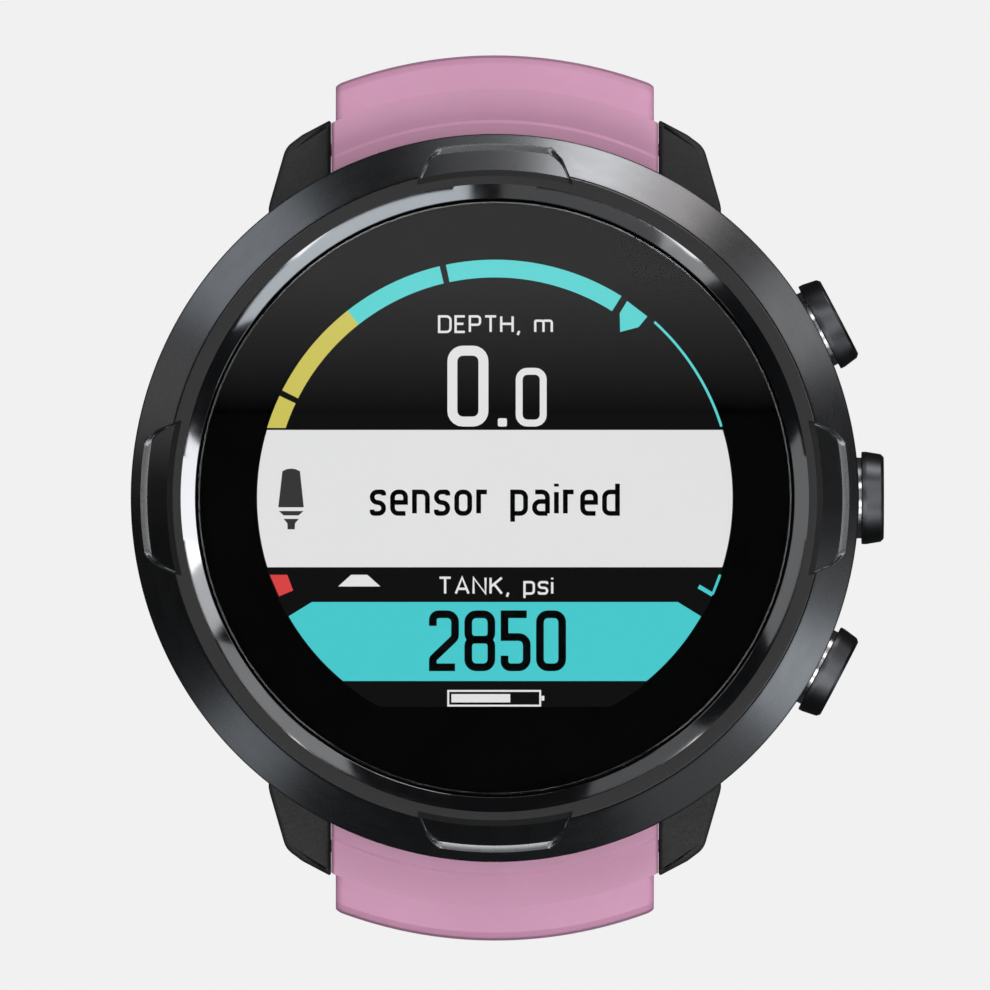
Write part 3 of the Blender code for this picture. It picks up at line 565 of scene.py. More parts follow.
def make_mid_case():
    corners = [
        (20.8, 0.3, 0.1), (22.2, 0.3, 0.6), (24.6, 2.0, 1.2), (CASE_R, 4.5, 1.6), (CASE_R, SEAT, 0.3),
        (COLLAR_R, SEAT), (COLLAR_R, COLLAR_TOP, 0.2), (CAVITY_R, COLLAR_TOP, 0.2), (CAVITY_R, 2.6),
        (16.4, 2.6), (16.4, 1.5), (20.8, 1.5),
    ]
    case = lathe("mid_case_shell", corners, sides=144)
    pockets = []
    for side in (-1, 1):
        near, far = sorted((side * POCKET_FACE, side * 30))
        pockets.append(box(f"pocket_{side}", (-LUG_FACE, near, -3), (LUG_FACE, far, 7.9)))
    carve(case, pockets)
    top, bottom = sloping(7.8, 0.3), sloping(0.8, 0.24)
    signs = [(x, y) for x in (-1, 1) for y in (-1, 1)]
    carve(case, [slab(f"lug_{x}_{y}", lug_outline(x, y), bottom, top, 0.35) for x, y in signs], "UNION")
    holes = [rod(f"pin_hole_{y}", 0.65, -13.5, 13.5, along_x(y * PIVOT_Y, PIVOT_Z), 24) for y in (-1, 1)]
    for name, angle in BUTTON_ANGLES.items():
        holes.append(rod(f"button_hole_{name}", 3.05, 20.0, 28.0, along_button(angle)))
    holes += [screw_hole(f"case_screw_hole_{n}", n) for n in range(4)]
    carve(case, holes)
    piece(case, "case", "case_plastic", ["mid_case"], 35)


def screw_place(number):
    turn = math.radians(45 + 90 * number)
    return at(SCREW_RING_R * math.cos(turn), SCREW_RING_R * math.sin(turn))


def screw_hole(name, number):
    hole = [(0, -1), (1.25, -1), (1.25, 0.55), (0.85, 0.55), (0.85, 3.2), (0, 3.2)]
    return lathe(name, hole, screw_place(number), 32)


def contact_place(number):
    return at(2.6 * (number - 1.5), -WELL_Y)


def make_case_back():
    corners = [
        (0, 0), (14.6, 0), (14.75, 0.12), (14.9, 0.12), (15.05, 0), (BACK_R, 0, 0.3),
        (BACK_R, BACK_THICK, 0.1), (17.7, BACK_THICK), (17.7, 0.75), (16.7, 0.75), (16.7, BACK_THICK),
        (0, BACK_THICK),
    ]
    back = lathe("case_back_plate", corners, sides=144)
    holes = [screw_hole(f"back_screw_hole_{n}", n) for n in range(4)]
    well = [(0, -1), (3.6, -1), (3.2, 0.25), (3.2, 2), (0, 2)]
    holes.append(lathe("sensor_well", well, at(0, WELL_Y), 64))
    well = [(0, -1), (1.2, -1), (0.8, 0.12), (0.8, 2), (0, 2)]
    holes += [lathe(f"contact_well_{n}", well, contact_place(n), 32) for n in range(4)]
    carve(back, holes)
    piece(back, "case", "brushed_back_steel", ["case_back"], 35)
    dome = [(0, 0.02), (0.45, 0.05, 0.3), (0.65, 0.25, 0.12), (0.65, 2.3), (0, 2.3)]
    for number in range(4):
        make_screw(number)
        contact = lathe(f"contact_{number + 1}", dome, contact_place(number), 32)
        piece(contact, "case", "gold_contact", [f"charging_contact_{number + 1}"])
    make_sensor_guard()


def make_screw(number):
    place = screw_place(number)
    corners = [(0, 0.05), (1.1, 0.05, 0.12), (1.15, 0.5, 0.1), (0.75, 0.5), (0.75, 2.4), (0, 2.5)]
    screw = lathe(f"back_screw_{number + 1}", corners, place, 48)
    carve(screw, [slab(f"socket_{number}", six_round(0.55), -0.3, 0.36, 0.0, place)])
    piece(screw, "case", "bright_steel", [f"case_back_screw_{number + 1}"])


def make_sensor_guard():
    corners = [(0, 0.05), (3.05, 0.05, 0.12), (3.05, 0.4, 0.05), (0, 0.4)]
    guard = lathe("depth_sensor_guard", corners, at(0, WELL_Y), 64)
    hole = [(0, -1), (0.62, -1), (0.62, 0.0), (0.42, 0.14), (0.42, 1), (0, 1)]
    ring = enumerate(six_round(1.7))
    carve(guard, [lathe(f"guard_hole_{n}", hole, at(x, WELL_Y + y), 24) for n, (x, y) in ring])
    piece(guard, "case", "bezel_steel", ["sensor_guard"], look=LOOKS["button_black"])


# ---- crystal and display graphics


def make_crystal():
    corners = [(0, CRYSTAL_LOW), (CRYSTAL_R, CRYSTAL_LOW, 0.05), (CRYSTAL_R, CRYSTAL_TOP - 0.1, 0.02)]
    corners += [(CRYSTAL_R - 0.1, CRYSTAL_TOP, 0.02), (0, CRYSTAL_TOP)]
    piece(lathe("crystal_plate", corners, sides=192), "case", "crystal_glass", ["crystal"], 50)


def arc(radius, start, end, steps=None):
    steps = steps or max(2, int(abs(end - start) / 1.5))
    turns = [math.radians(start + (end - start) * i / steps) for i in range(steps + 1)]
    return [(radius * math.cos(t), radius * math.sin(t)) for t in turns]


def six_round(radius):
    return arc(radius, 0, 300, 5)


def gauge_band(start, end, inner=16.05, outer=17.34, inner_end=None):
    """A plate between two radii, counter-clockwise from start to end."""
    return plate(arc(outer, start, end) + arc(inner, inner_end or end, start))


def level_band(low, high):
    """The part of the screen's disc between two heights."""
    low_turn, high_turn = [math.degrees(math.asin(height / SCREEN_R)) for height in (low, high)]
    return arc(SCREEN_R, low_turn, high_turn) + arc(SCREEN_R, 180 - high_turn, 180 - low_turn)


def stroke_mesh(path, width, closed=False, layer=LOWER):
    """Points and faces of a stroke with a rectangular section along a path."""
    low, high = layer
    points = []
    count = len(path)
    for i, point in enumerate(path):
        here = Vector(point)
        before = here - Vector(path[i - 1]) if closed or i > 0 else Vector(path[1]) - here
        after = Vector(path[(i + 1) % count]) - here if closed or i < count - 1 else before
        across, square = across_corner(before, after)
        reach = width / 2 / max(0.6, square)
        a, b = here - across * reach, here + across * reach
        points += [(a.x, a.y, low), (b.x, b.y, low), (b.x, b.y, high), (a.x, a.y, high)]
    return points, skin(4, count, closed)


# Each character's width, then its strokes in a box one unit wide and high. A third value rounds the corner.
LETTERS = {
    "0": (0.5, [[(0, 0, 1), (1, 0, 1), (1, 1, 1), (0, 1, 1), "close"]]),
    "2": (0.5, [[(0, 0.78), (0, 1, 1), (1, 1, 1), (1, 0.56, 0.8), (0, 0.16, 0.4), (0, 0), (1, 0)]]),
    "5": (0.5, [[(1, 1), (0, 1), (0, 0.57), (1, 0.57, 1), (1, 0, 1), (0, 0, 1), (0, 0.22)]]),
    "8": (0.52, [[(0, 0.52, 0.8), (1, 0.52, 0.8), (1, 1, 1), (0, 1, 1), "close"],
                 [(0, 0, 1), (1, 0, 1), (1, 0.52, 0.8), (0, 0.52, 0.8), "close"]]),
    "D": (0.62, [[(0, 0), (1, 0, 1.4), (1, 1, 1.4), (0, 1), "close"]]),
    "E": (0.5, [[(1, 1), (0, 1), (0, 0), (1, 0)], [(0, 0.52), (0.85, 0.52)]]),
    "P": (0.55, [[(0, 0), (0, 1), (1, 1, 1), (1, 0.46, 1), (0, 0.46)]]),
    "T": (0.6, [[(0, 1), (1, 1)], [(0.5, 1), (0.5, 0)]]),
    "H": (0.62, [[(0, 0), (0, 1)], [(1, 0), (1, 1)], [(0, 0.52), (1, 0.52)]]),
    "A": (0.68, [[(0, 0), (0.5, 1.02), (1, 0)], [(0.17, 0.3), (0.83, 0.3)]]),
    "N": (0.64, [[(0, 0), (0, 1), (1, 0), (1, 1)]]),
    "K": (0.6, [[(0, 0), (0, 1)], [(1, 1), (0, 0.42)], [(0.32, 0.6), (1, 0)]]),
    ",": (0.1, [[(0.8, 0.06), (0, -0.2)]]),
    "m": (0.9, [[(0, 0), (0, 0.72)], [(0, 0.72), (0.5, 0.72, 0.8), (0.5, 0)],
                [(0.5, 0.72), (1, 0.72, 0.8), (1, 0)]]),
    "p": (0.5, [[(0, -0.28), (0, 0.72), (1, 0.72, 1), (1, 0, 1), (0, 0)]]),
    "s": (0.44, [[(1, 0.6), (1, 0.72, 1), (0, 0.72, 1), (0, 0.38, 1), (1, 0.35, 1), (1, 0, 1), (0, 0, 1),
                  (0, 0.13)]]),
    "i": (0.0, [[(0, 0), (0, 0.72)], [(0, 0.9), (0, 1.0)]]),
    "a": (0.5, [[(0.05, 0.72), (1, 0.72, 1), (1, 0)], [(1, 0.4), (0, 0.4, 1), (0, 0, 1), (1, 0)]]),
    "n": (0.5, [[(0, 0), (0, 0.72), (1, 0.72, 1), (1, 0)]]),
    "o": (0.5, [[(0, 0, 1), (1, 0, 1), (1, 0.72, 1), (0, 0.72, 1), "close"]]),
    "r": (0.32, [[(0, 0), (0, 0.72), (1, 0.72)]]),
    "e": (0.5, [[(0, 0.37), (1, 0.37), (1, 0.72, 1), (0, 0.72, 1), (0, 0, 1), (1, 0)]]),
    "d": (0.5, [[(1, 1), (1, 0), (0, 0, 1), (0, 0.72, 1), (1, 0.72)]]),
    " ": (0.3, []),
}


def write(text, left, right, base, height, stroke, gap, layer=LOWER, corner=0.16):
    """Points and faces of a line of text whose ink runs from left to right, on a base line."""
    tall = height - stroke
    widths = [LETTERS[letter][0] for letter in text]
    ink = right - left - len(text) * stroke - (len(text) - 1) * gap
    scale = ink / sum(widths)
    shapes = []
    x = left + stroke / 2
    for letter, width in zip(text, widths):
        for stroke_path in LETTERS[letter][1]:
            closed = stroke_path[-1] == "close"
            corners = []
            for spot in stroke_path[: -1 if closed else None]:
                place = (x + spot[0] * width * scale, base + stroke / 2 + spot[1] * tall)
                corners.append((*place, spot[2] * corner * height) if len(spot) > 2 else place)
            shapes.append(stroke_mesh(rounded(corners, closed, 22), stroke, closed, layer))
        x += width * scale + stroke + gap
    return merged(shapes)


def merged(shapes):
    """Points and faces of several shapes as one shape's."""
    points = []
    faces = []
    for made, sides in shapes:
        faces += [tuple(len(points) + index for index in face) for face in sides]
        points += made
    return points, faces


def plate(outline, layer=LOWER):
    """Points and faces of a thin plate."""
    points = [(x, y, height) for height in layer for x, y in outline]
    return points, skin(len(outline), 2)


def graphic(name, shapes, look):
    """One display colour's shapes as one piece."""
    piece(raw(name, *merged(shapes)), "case", "display_black", look=look)


def make_border():
    """The black border printed under the crystal, with the display's opening in it."""
    low, high, outer, opening, flat = CRYSTAL_LOW - 0.04, CRYSTAL_LOW - 0.01, 21.45, 17.4, -15.3
    points = []
    sides = 240
    for edge, height in ((outer, low), (outer, high), (opening, high), (opening, low)):
        for i in range(sides):
            turn = 2 * math.pi * i / sides
            cut = edge == opening and math.sin(turn) < 0
            radius = min(edge, flat / math.sin(turn)) if cut else edge
            points.append((radius * math.cos(turn), radius * math.sin(turn), height))
    border = raw("printed_border", points, skin(sides, 4, True))
    piece(border, "case", "display_black", ["display_mask"])


def make_seal_lip():
    """The dark lip of the crystal's seal, which fills the gap beside the crystal."""
    low, high = CRYSTAL_LOW + 0.3, CRYSTAL_TOP - 0.15
    inner, outer = CRYSTAL_R + 0.01, CHAMFER_R - 0.01
    corners = [(inner, low), (outer, low), (outer, high, 0.03), (inner, high, 0.03)]
    lip = lathe("crystal_seal_lip", corners, sides=192)
    piece(lip, "case", "black_rubber", look=LOOKS["display_black"])


def make_graphics():
    white, cyan = lit("lit_white", linear(225, 225, 225)), lit("lit_cyan", linear(73, 200, 204))
    arc_cyan = lit("lit_arc", linear(92, 210, 208))
    yellow, red = lit("lit_yellow", linear(204, 194, 92)), lit("lit_red", linear(215, 68, 68))
    soft = lit("lit_soft", linear(226, 226, 226))
    ink = moulded(
        "unlit_ink", (0.0028, 0.0028, 0.003), (0.004, 0.004, 0.004), (0.5, 0.6), depth=0.0005,
        Specular_IOR_Level=0.0
    )
    backdrop = lit("panel_glow", (0.0052, 0.0052, 0.0054), 1.0)
    graphic("screen_backdrop", [plate(arc(17.38, -61, 241), BACKDROP)], backdrop)
    yellow_bands = [gauge_band(154.6, 162.9, inner_end=161.5), gauge_band(128.2, 153.15)]
    graphic("gauge_yellow", yellow_bands, yellow)
    pointer = [(9.63, 14.33), (9.09, 13.45), (9.12, 12.08), (10.46, 12.43), (11.1, 13.21)]
    cyan_bands = [gauge_band(103.4, 128.2), gauge_band(57.9, 101.85), gauge_band(17.5, 47.8, 17.2, 17.38)]
    graphic("gauge_cyan", [*cyan_bands, plate(pointer)], arc_cyan)
    graphic("depth_label", [write("DEPTH, m", -4.14, 4.23, 12.0, 1.3, 0.17, 0.2)], soft)
    graphic("depth_value", [
        write("0", -3.45, -0.47, 5.2, 5.88, 0.72, 0, corner=0.13),
        plate(oblong(0.22, 0.88, 5.2, 5.8, 0.12)),
        write("0", 1.52, 3.77, 5.2, 4.27, 0.5, 0, corner=0.14),
    ], soft)
    graphic("message_bar", [plate(level_band(-5.04, 4.95))], white)
    graphic("message_text", [write("sensor paired", -9.1, 9.1, -1.3, 2.52, 0.35, 0.3, UPPER)], ink)
    graphic("sensor_icon", sensor_icon(), lit("lit_grey", linear(56, 55, 56)))
    graphic("pressure_label", [write("TANK, psi", -4.11, 4.26, -7.04, 1.32, 0.17, 0.2)], soft)
    graphic("warning_block", [plate([(-16.38, -5.59), (-15.7, -7.16), (-14.68, -6.73), (-15.1, -5.59)])], red)
    graphic("gauge_marker", [plate([(-11.4, -6.44), (-8.33, -6.44), (-9.28, -5.59), (-10.46, -5.59)])], soft)
    thick_tick = stroke_mesh([(14.83, -6.44), (15.85, -7.04)], 0.3)
    thin_tick = stroke_mesh([(15.85, -7.04), (16.4, -5.59)], 0.2)
    graphic("pressure_band", [plate(pressure_outline()), thick_tick, thin_tick], cyan)
    graphic("pressure_value", [write("2850", -4.79, 5.18, -12.6, 4.42, 0.56, 0.4, UPPER, 0.13)], ink)
    graphic("battery_icon", [
        stroke_mesh(oblong(-3.39, 3.3, -15.11, -14.04), 0.14, True),
        plate(oblong(-3.16, 1.12, -14.88, -14.27)),
        plate(oblong(3.39, 3.6, -14.75, -14.4)),
    ], soft)


def sensor_icon():
    """The tank sensor's outline on the message bar."""
    dome = [
        (-15.46, 1.95), (-15.76, -0.68), (-13.9, -0.68), (-14.18, 1.95), (-14.5, 2.1), (-14.82, 2.14),
        (-15.14, 2.1),
    ]
    collar = [(-15.72, -0.95), (-15.36, -1.27), (-14.28, -1.27), (-13.92, -0.95)]
    foot = [
        (-15.38, -1.52), (-15.1, -1.84), (-15.08, -2.28), (-14.56, -2.28), (-14.54, -1.84), (-14.26, -1.52),
    ]
    return [plate(outline, UPPER) for outline in (dome, collar, foot)]


def pressure_outline():
    """The bottom of the screen's disc, with its upper corners cut."""
    low_turn, side_turn = [math.degrees(math.asin(height / SCREEN_R)) for height in (-13.32, -8.61)]
    right = arc(SCREEN_R, low_turn, side_turn)
    left = [(-x, y) for x, y in reversed(right)]
    return [*right, (13.31, -7.57), (-13.31, -7.57), *left]


# ---- buttons


def make_buttons():
    """Caps and bushes, whose corners are (radius, distance from the case's centre line)."""
    cap = [
        (0, 20.6), (1.0, 20.6, 0.2), (1.0, 21.15), (0.7, 21.15), (0.7, 21.6), (1.0, 21.6), (1.0, 27.2),
        (2.1, 27.2), (2.1, 27.5), (3.07, 27.5), (3.07, 26.75, 0.06), (3.375, 26.75, 0.08),
        (3.375, 27.1, 0.12), (3.2, 28.16, 0.14), (2.98, 28.38, 0.1), (2.3, 28.38, 0.1), (2.15, 28.26, 0.1),
        (0, 28.34),
    ]
    bush = [
        (1.9, 21.75), (2.95, 21.75, 0.1), (2.95, 26.9, 0.1), (2.2, 26.9, 0.1), (2.2, 23.1), (1.12, 23.1),
        (1.12, 22.65), (1.9, 22.65),
    ]
    for name, angle in BUTTON_ANGLES.items():
        place = along_button(angle)
        plunger = lathe(f"{name}_button_cap", cap, place)
        piece(plunger, f"{name}_button", "button_black", [f"{name}_button"])
        sleeve = lathe(f"{name}_bush", bush, place, 64)
        piece(sleeve, "case", "bright_steel", [f"{name}_button_bush"])


# ---- strap


def strap_place(runs, length):
    """(y, z, angle) on a strap's centre line; the angle is that of its outer side, 0 towards +Y."""
    y, z, angle = STRAP_OUT_Y - STRAP_THICK / 2, SHOULDER_LOW, 0.0
    for kind, size, bend in runs:
        step = min(length, size if kind == "line" else math.radians(bend) * size)
        if kind == "line":
            y += step * math.sin(angle)
            z -= step * math.cos(angle)
        else:
            turn = step / size
            y += size * (math.cos(angle - turn) - math.cos(angle))
            z += size * (math.sin(angle - turn) - math.sin(angle))
            angle -= turn
        length -= step
        if length <= 0:
            break
    return y, z, angle


def run_length(runs):
    return sum(size if kind == "line" else math.radians(bend) * size for kind, size, bend in runs)


def fade(value, start, end, first, last):
    share = min(1.0, max(0.0, (value - start) / (end - start)))
    return first + (last - first) * share


def smooth_fade(value, start, end, first, last):
    share = fade(value, start, end, 0.0, 1.0)
    return first + (last - first) * share * share * (3 - 2 * share)


def keyed(corners, steps=9):
    """A rounded open path with a value along it that is 0, 1, 2, ... at its corners."""
    path = []
    keys = []
    for i, corner in enumerate(corners):
        if len(corner) > 2:
            bend = rounded(corners[i - 1:i + 2], False, steps)[1:-1]
        else:
            bend = [corner]
        first, last = Vector(path[-1]) if path else Vector(bend[0]), Vector(bend[0])
        run = max(1, int((last - first).length / 0.35))
        path += [tuple(first.lerp(last, j / run)) for j in range(1, run)]
        keys.append(len(path) + len(bend) // 2)
        path += [tuple(point) for point in bend]
    lengths = [0.0]
    for here, there in zip(path, path[1:]):
        lengths.append(lengths[-1] + (Vector(there) - Vector(here)).length)
    marks = [lengths[key] for key in keys]
    return np.interp(lengths, marks, range(len(marks))), path


def shoulder_stations():
    """Sections (outer, inner, roundness outside and inside, half width, edge) over the raised bands."""
    knuckle = [math.radians(a) for a in (150, 128)]
    start, top = [(PIVOT_Y + 1.95 * math.cos(a), PIVOT_Z + 1.95 * math.sin(a)) for a in knuckle]
    outside = [
        start, (*top, 0.9), (26.46, 8.16, 0.12), (27.36, 8.1, 0.06), (27.56, 7.88, 0.06), (29.84, 7.94, 0.08),
        (31.7, 7.2, 0.4), (32.12, 6.75, 0.3), (STRAP_OUT_Y, 5.4, 0.8), (STRAP_OUT_Y, SHOULDER_LOW),
    ]
    inside = [
        (23.71, 3.525), (23.95, 3.15, 0.8), (24.43, 2.81, 0.8), (25.1, 2.62, 0.8), (25.5, 2.52, 1.0),
        (27.2, 1.9, 2.0), (28.2, 0.9, 2.0), (28.9, -0.6, 2.0), (29.2, -1.6, 2.0), (29.2, SHOULDER_LOW),
    ]
    outer_keys, outer_path = keyed(outside)
    inner_keys, inner_path = keyed(inside)
    inner_y, inner_z = zip(*inner_path)
    stations = []
    for key, outer in zip(outer_keys, outer_path):
        inner = (float(np.interp(key, inner_keys, inner_y)), float(np.interp(key, inner_keys, inner_z)))
        banded = key <= BAND_END
        half = WIDE if banded else HALF
        edge = (0.3, 0.85) if banded else (0.55, 0.55)
        stations.append((outer, inner, fade(key, 1, 2, 0, 1), fade(key, 4, 9, 0, 1), half, edge))
        if banded and outer_keys[min(len(outer_keys) - 1, len(stations))] > BAND_END:
            stations.append((outer, inner, 1.0, fade(key, 4, 9, 0, 1), HALF, (0.5, 0.5)))
    return stations


def run_station(runs, length, half_thick, half_width, roundness, edge=0.55):
    y, z, angle = strap_place(runs, length)
    out = (half_thick * math.cos(angle), half_thick * math.sin(angle))
    edge = min(edge, 0.9 * half_thick)
    return (y + out[0], z + out[1]), (y - out[0], z - out[1]), roundness, roundness, half_width, (edge, edge)


def section(half, edge, thick):
    """(x, share of the way from inner to outer) round a section whose long edges are rounded."""
    wide, deep = edge
    turns = [math.radians(15 * i) for i in range(7)]
    corner = [(half - wide + wide * math.sin(t), deep * (1 - math.cos(t)) / thick) for t in turns]
    across = [(half - wide) * (2 * i / 28 - 1) for i in range(1, 28)]
    right = [(x, 1 - d) for x, d in corner] + [(x, d) for x, d in reversed(corner)]
    left = [(-x, d) for x, d in corner] + [(-x, 1 - d) for x, d in reversed(corner)]
    return [(x, 1.0) for x in across] + right + [(-x, 0.0) for x in across] + left


def strap_shape(name, stations, side):
    """Lofts sections along the strap; roundness bends one to a circle about the case's axis."""
    points = []
    for outer, inner, round_outer, round_inner, half, edge in stations:
        for x, share in section(half, edge, math.dist(outer, inner)):
            y = inner[0] + (outer[0] - inner[0]) * share
            z = inner[1] + (outer[1] - inner[1]) * share
            sag = outer[0] - math.sqrt(max(outer[0] ** 2 - x * x, 0.0))
            y -= (round_inner + (round_outer - round_inner) * share) * sag
            points.append((x, side * y, z))
    return raw(name, points, skin(len(points) // len(stations), len(stations)))


def lever_window(name, side, half, left, right):
    """A cutter for the opening through which a release pin's lever comes out."""
    near, far = sorted((side * (PIVOT_Y - half), side * (PIVOT_Y + half)))
    return box(name, (LEVER_X - left, near, 1.0), (LEVER_X + right, far, PIVOT_Z))


def pin_cutters(name, side):
    bore = rod(f"{name}_bore", 1.05, -13, 13, along_x(side * PIVOT_Y, PIVOT_Z))
    return [bore, lever_window(f"{name}_window", side, 0.75, 1.8, 0.8)]


def spaced(start, end, step):
    count = max(1, round((end - start) / step))
    return [start + (end - start) * i / count for i in range(1, count + 1)]


def make_buckle_strap():
    total = run_length(BUCKLE_RUNS)
    bend = total - BUCKLE_RUNS[2][1]
    stretched = [*BUCKLE_RUNS[:2], ("line", BUCKLE_RUNS[2][1] + 3, 0)]
    stations = shoulder_stations()
    for length in spaced(0, total - 3.4, 0.8):
        half_thick = smooth_fade(length, 6, bend, STRAP_THICK, 2.8) / 2
        half_width = smooth_fade(length, 2, 33, HALF, HALF_TIP)
        roundness = smooth_fade(length, 14, 36, 1, 0)
        stations.append(run_station(stretched, length, half_thick, half_width, roundness))
    for before in (2.9, 2.5, 2.1, 1.7, 1.3, 0.9, 0.5, 0.1, -0.3, -0.7, -1.1, -1.4, -1.6, -1.75):
        eye = math.sqrt(EYE_R ** 2 - min(abs(before), 1.75) ** 2) if before < 1.3 else 1.4
        half_thick = max(eye, smooth_fade(before, 0.9, 2.9, 1.72, 1.4)) if before > 0 else eye
        stations.append(run_station(stretched, total - before, half_thick, HALF_TIP - 0.1, 0, 0.4))
    strap = strap_shape("buckle_strap_skin", stations, 1)
    bar = rod("bar_bore", 1.05, -12, 12, along_x(BAR_Y, BAR_Z))
    notch = slab("notch", oblong(-1.9, 1.9, -6.9, 2.6, 0.7), -3, 3, 0.0, at(0, BAR_Y, BAR_Z))
    carve(strap, [*pin_cutters("buckle_strap", 1), bar, notch])
    piece(strap, "buckle_strap", "pink_silicone", ["buckle_strap"], 40)


def slot_cutter(number):
    """A rounded slot through the strap whose mouths flare a little."""
    y, z, angle = strap_place(HOLE_RUNS, SLOT_START + SLOT_PITCH * number)
    sine, cosine = math.sin(angle), math.cos(angle)
    place = Matrix(((1, 0, 0, 0), (0, sine, -cosine, -y), (0, cosine, sine, z), (0, 0, 0, 1)))
    flare = [(2.4, 1.2), (1.35, 0.18), (1.2, 0.05), (1.05, 0.0)]
    levels = [(-height, grow) for height, grow in flare] + flare[::-1]
    outline = oblong(-SLOT_WIDE / 2, SLOT_WIDE / 2, -SLOT_LONG / 2, SLOT_LONG / 2, 0.9)
    points = []
    for height, grow in levels:
        points += [place @ Vector((*spot, height)) for spot in inset(outline, -grow)]
    return raw(f"slot_{number}", points, skin(len(outline), len(levels)))


def make_hole_strap():
    total = run_length(HOLE_RUNS)
    tail = total - math.radians(HOLE_RUNS[3][2]) * HOLE_RUNS[3][1]
    lead = HOLE_RUNS[0][1]
    stations = shoulder_stations()
    tip, end = total - TIP_LONG, total - 1.0
    lengths = spaced(0, tip, 0.9) + spaced(tip, end, 0.4) + spaced(end, total, 0.12)
    for length in lengths:
        thick = fade(length, tail, total, smooth_fade(length, 6, lead, STRAP_THICK, 2.7), 2.5)
        half_width = smooth_fade(length, 2, 33, HALF, HALF_TIP)
        near_tip = max(0.0, 1 - (total - length) / TIP_LONG)
        half_width -= TIP_NARROWING * (1 - math.sqrt(1 - near_tip ** 2))
        at_end = max(0.0, 1 - (total - length) / TIP_EDGE)
        thick *= 0.35 + 0.65 * math.sqrt(1 - at_end ** 2)
        roundness = smooth_fade(length, 30, 56, 1, 0)
        stations.append(run_station(HOLE_RUNS, length, thick / 2, half_width, roundness))
    strap = strap_shape("hole_strap_skin", stations, -1)
    carve(strap, [*pin_cutters("hole_strap", -1), *[slot_cutter(n) for n in range(SLOT_COUNT)]])
    piece(strap, "hole_strap", "pink_silicone", ["hole_strap"], 40)


def make_strap_pins():
    tube = [
        (0, -13.1), (0.45, -13.1, 0.12), (0.45, -11.5), (0.9, -11.5, 0.1), (0.9, 11.5, 0.1), (0.6, 11.5),
        (0.6, 3.4), (0, 3.4),
    ]
    pin = [(0, 4.8), (0.45, 4.8, 0.05), (0.45, 13.1, 0.12), (0, 13.1)]
    handle = [(0, -2.9), (0.38, -2.9, 0.18), (0.38, -0.1), (0, -0.1)]
    for name, side, body in (("12", 1, "buckle_strap"), ("6", -1, "hole_strap")):
        place = along_x(side * PIVOT_Y, PIVOT_Z)
        bar = lathe(f"spring_bar_{name}", tube, place, 48)
        carve(bar, [lever_window(f"bar_window_{name}", side, 0.6, 1.75, 0.6)])
        piece(bar, body, "bright_steel", [f"strap_pin_{name}"])
        release = lathe(f"quick_release_{name}", pin, place, 32)
        carve(release, [lathe(f"lever_{name}", handle, at(LEVER_X, side * PIVOT_Y, PIVOT_Z), 32)], "UNION")
        node = f"release_pin_{name}"
        piece(release, node, "bright_steel", [node])


# ---- buckle and keepers


def make_buckle():
    place = Matrix(((1, 0, 0, 0), (0, -1, 0, BAR_Y), (0, 0, -1, BAR_Z), (0, 0, 0, 1)))
    corners = [
        (13.6, -1.9, 0.8), (13.6, 13.6, 2.6), (-13.6, 13.6, 2.6), (-13.6, -1.9, 0.8), (-11.5, -1.9, 0.6),
        (-11.5, 10.7, 1.2), (11.5, 10.7, 1.2), (11.5, -1.9, 0.6),
    ]
    hoop = slab("buckle_hoop", rounded(corners, fine=9), -1.2, 1.2, 0.45, place)
    bar_place = along_x(BAR_Y, BAR_Z)
    carve(hoop, [rod("hoop_hole", 1.0, -13, 13, bar_place)])
    piece(hoop, "buckle_frame", "buckle_black", ["buckle_frame"], 35)
    corners = [(0, -12.9), (0.9, -12.9, 0.15), (0.9, 12.9, 0.15), (0, 12.9)]
    bar = lathe("buckle_bar", corners, bar_place, 48)
    piece(bar, "buckle_frame", "bright_steel", ["buckle_pin"])
    make_tongue(place, bar_place)


def make_tongue(place, bar_place):
    """The tongue's side view, extruded across: an eye round the bar and an arm over the hoop."""
    eye = arc(1.8, 65, 305, 24)
    arm = [(4.0, 0.85, 3.0), (9.0, 1.4, 6.0), (14.6, 1.4, 0.6), (15.2, 1.8, 0.3), (14.8, 2.3, 0.6)]
    arm += [(9.0, 2.5, 6.0), (4.0, 2.2, 3.0)]
    tongue = slab("tongue", rounded([*eye, *arm]), -1.4, 1.4, 0.22, place @ along_x(0, 0))
    carve(tongue, [rod("tongue_bore", 1.02, -3, 3, bar_place)])
    piece(tongue, "buckle_tongue", "buckle_black", ["buckle_tongue"], 35)


def make_keepers():
    """Two silicone loops with rounded edges round the straight end of the buckle strap."""
    outer = oblong(-12.5, 12.5, -38.75, -30.25, 1.6)
    inner = oblong(-11.3, 11.3, -37.65, -31.35, 0.6)
    turns = [math.radians(22.5 * i) for i in range(5)]
    edge, long = 0.42, 5
    for name, start, body in (("fixed_keeper", 0.2, "buckle_strap"), ("free_keeper", 6.7, "free_keeper")):
        points = []
        for (xo, zo), (xi, zi) in zip(outer, inner):
            thick = math.hypot(xo - xi, zo - zi)
            corner = [(1 - edge * (1 - math.cos(t)) / thick, edge * (1 - math.sin(t))) for t in turns]
            outside = [(share, start + off) for share, off in reversed(corner)]
            outside += [(share, start + long - off) for share, off in corner]
            loop = outside + [(1 - share, y) for share, y in reversed(outside)]
            points += [(xi + (xo - xi) * share, y, zi + (zo - zi) * share) for share, y in loop]
        made = raw(f"{name}_loop", points, skin(len(loop), len(outer), True))
        piece(made, body, "pink_silicone", [name], 40)


# ---- CAD nodes that stay


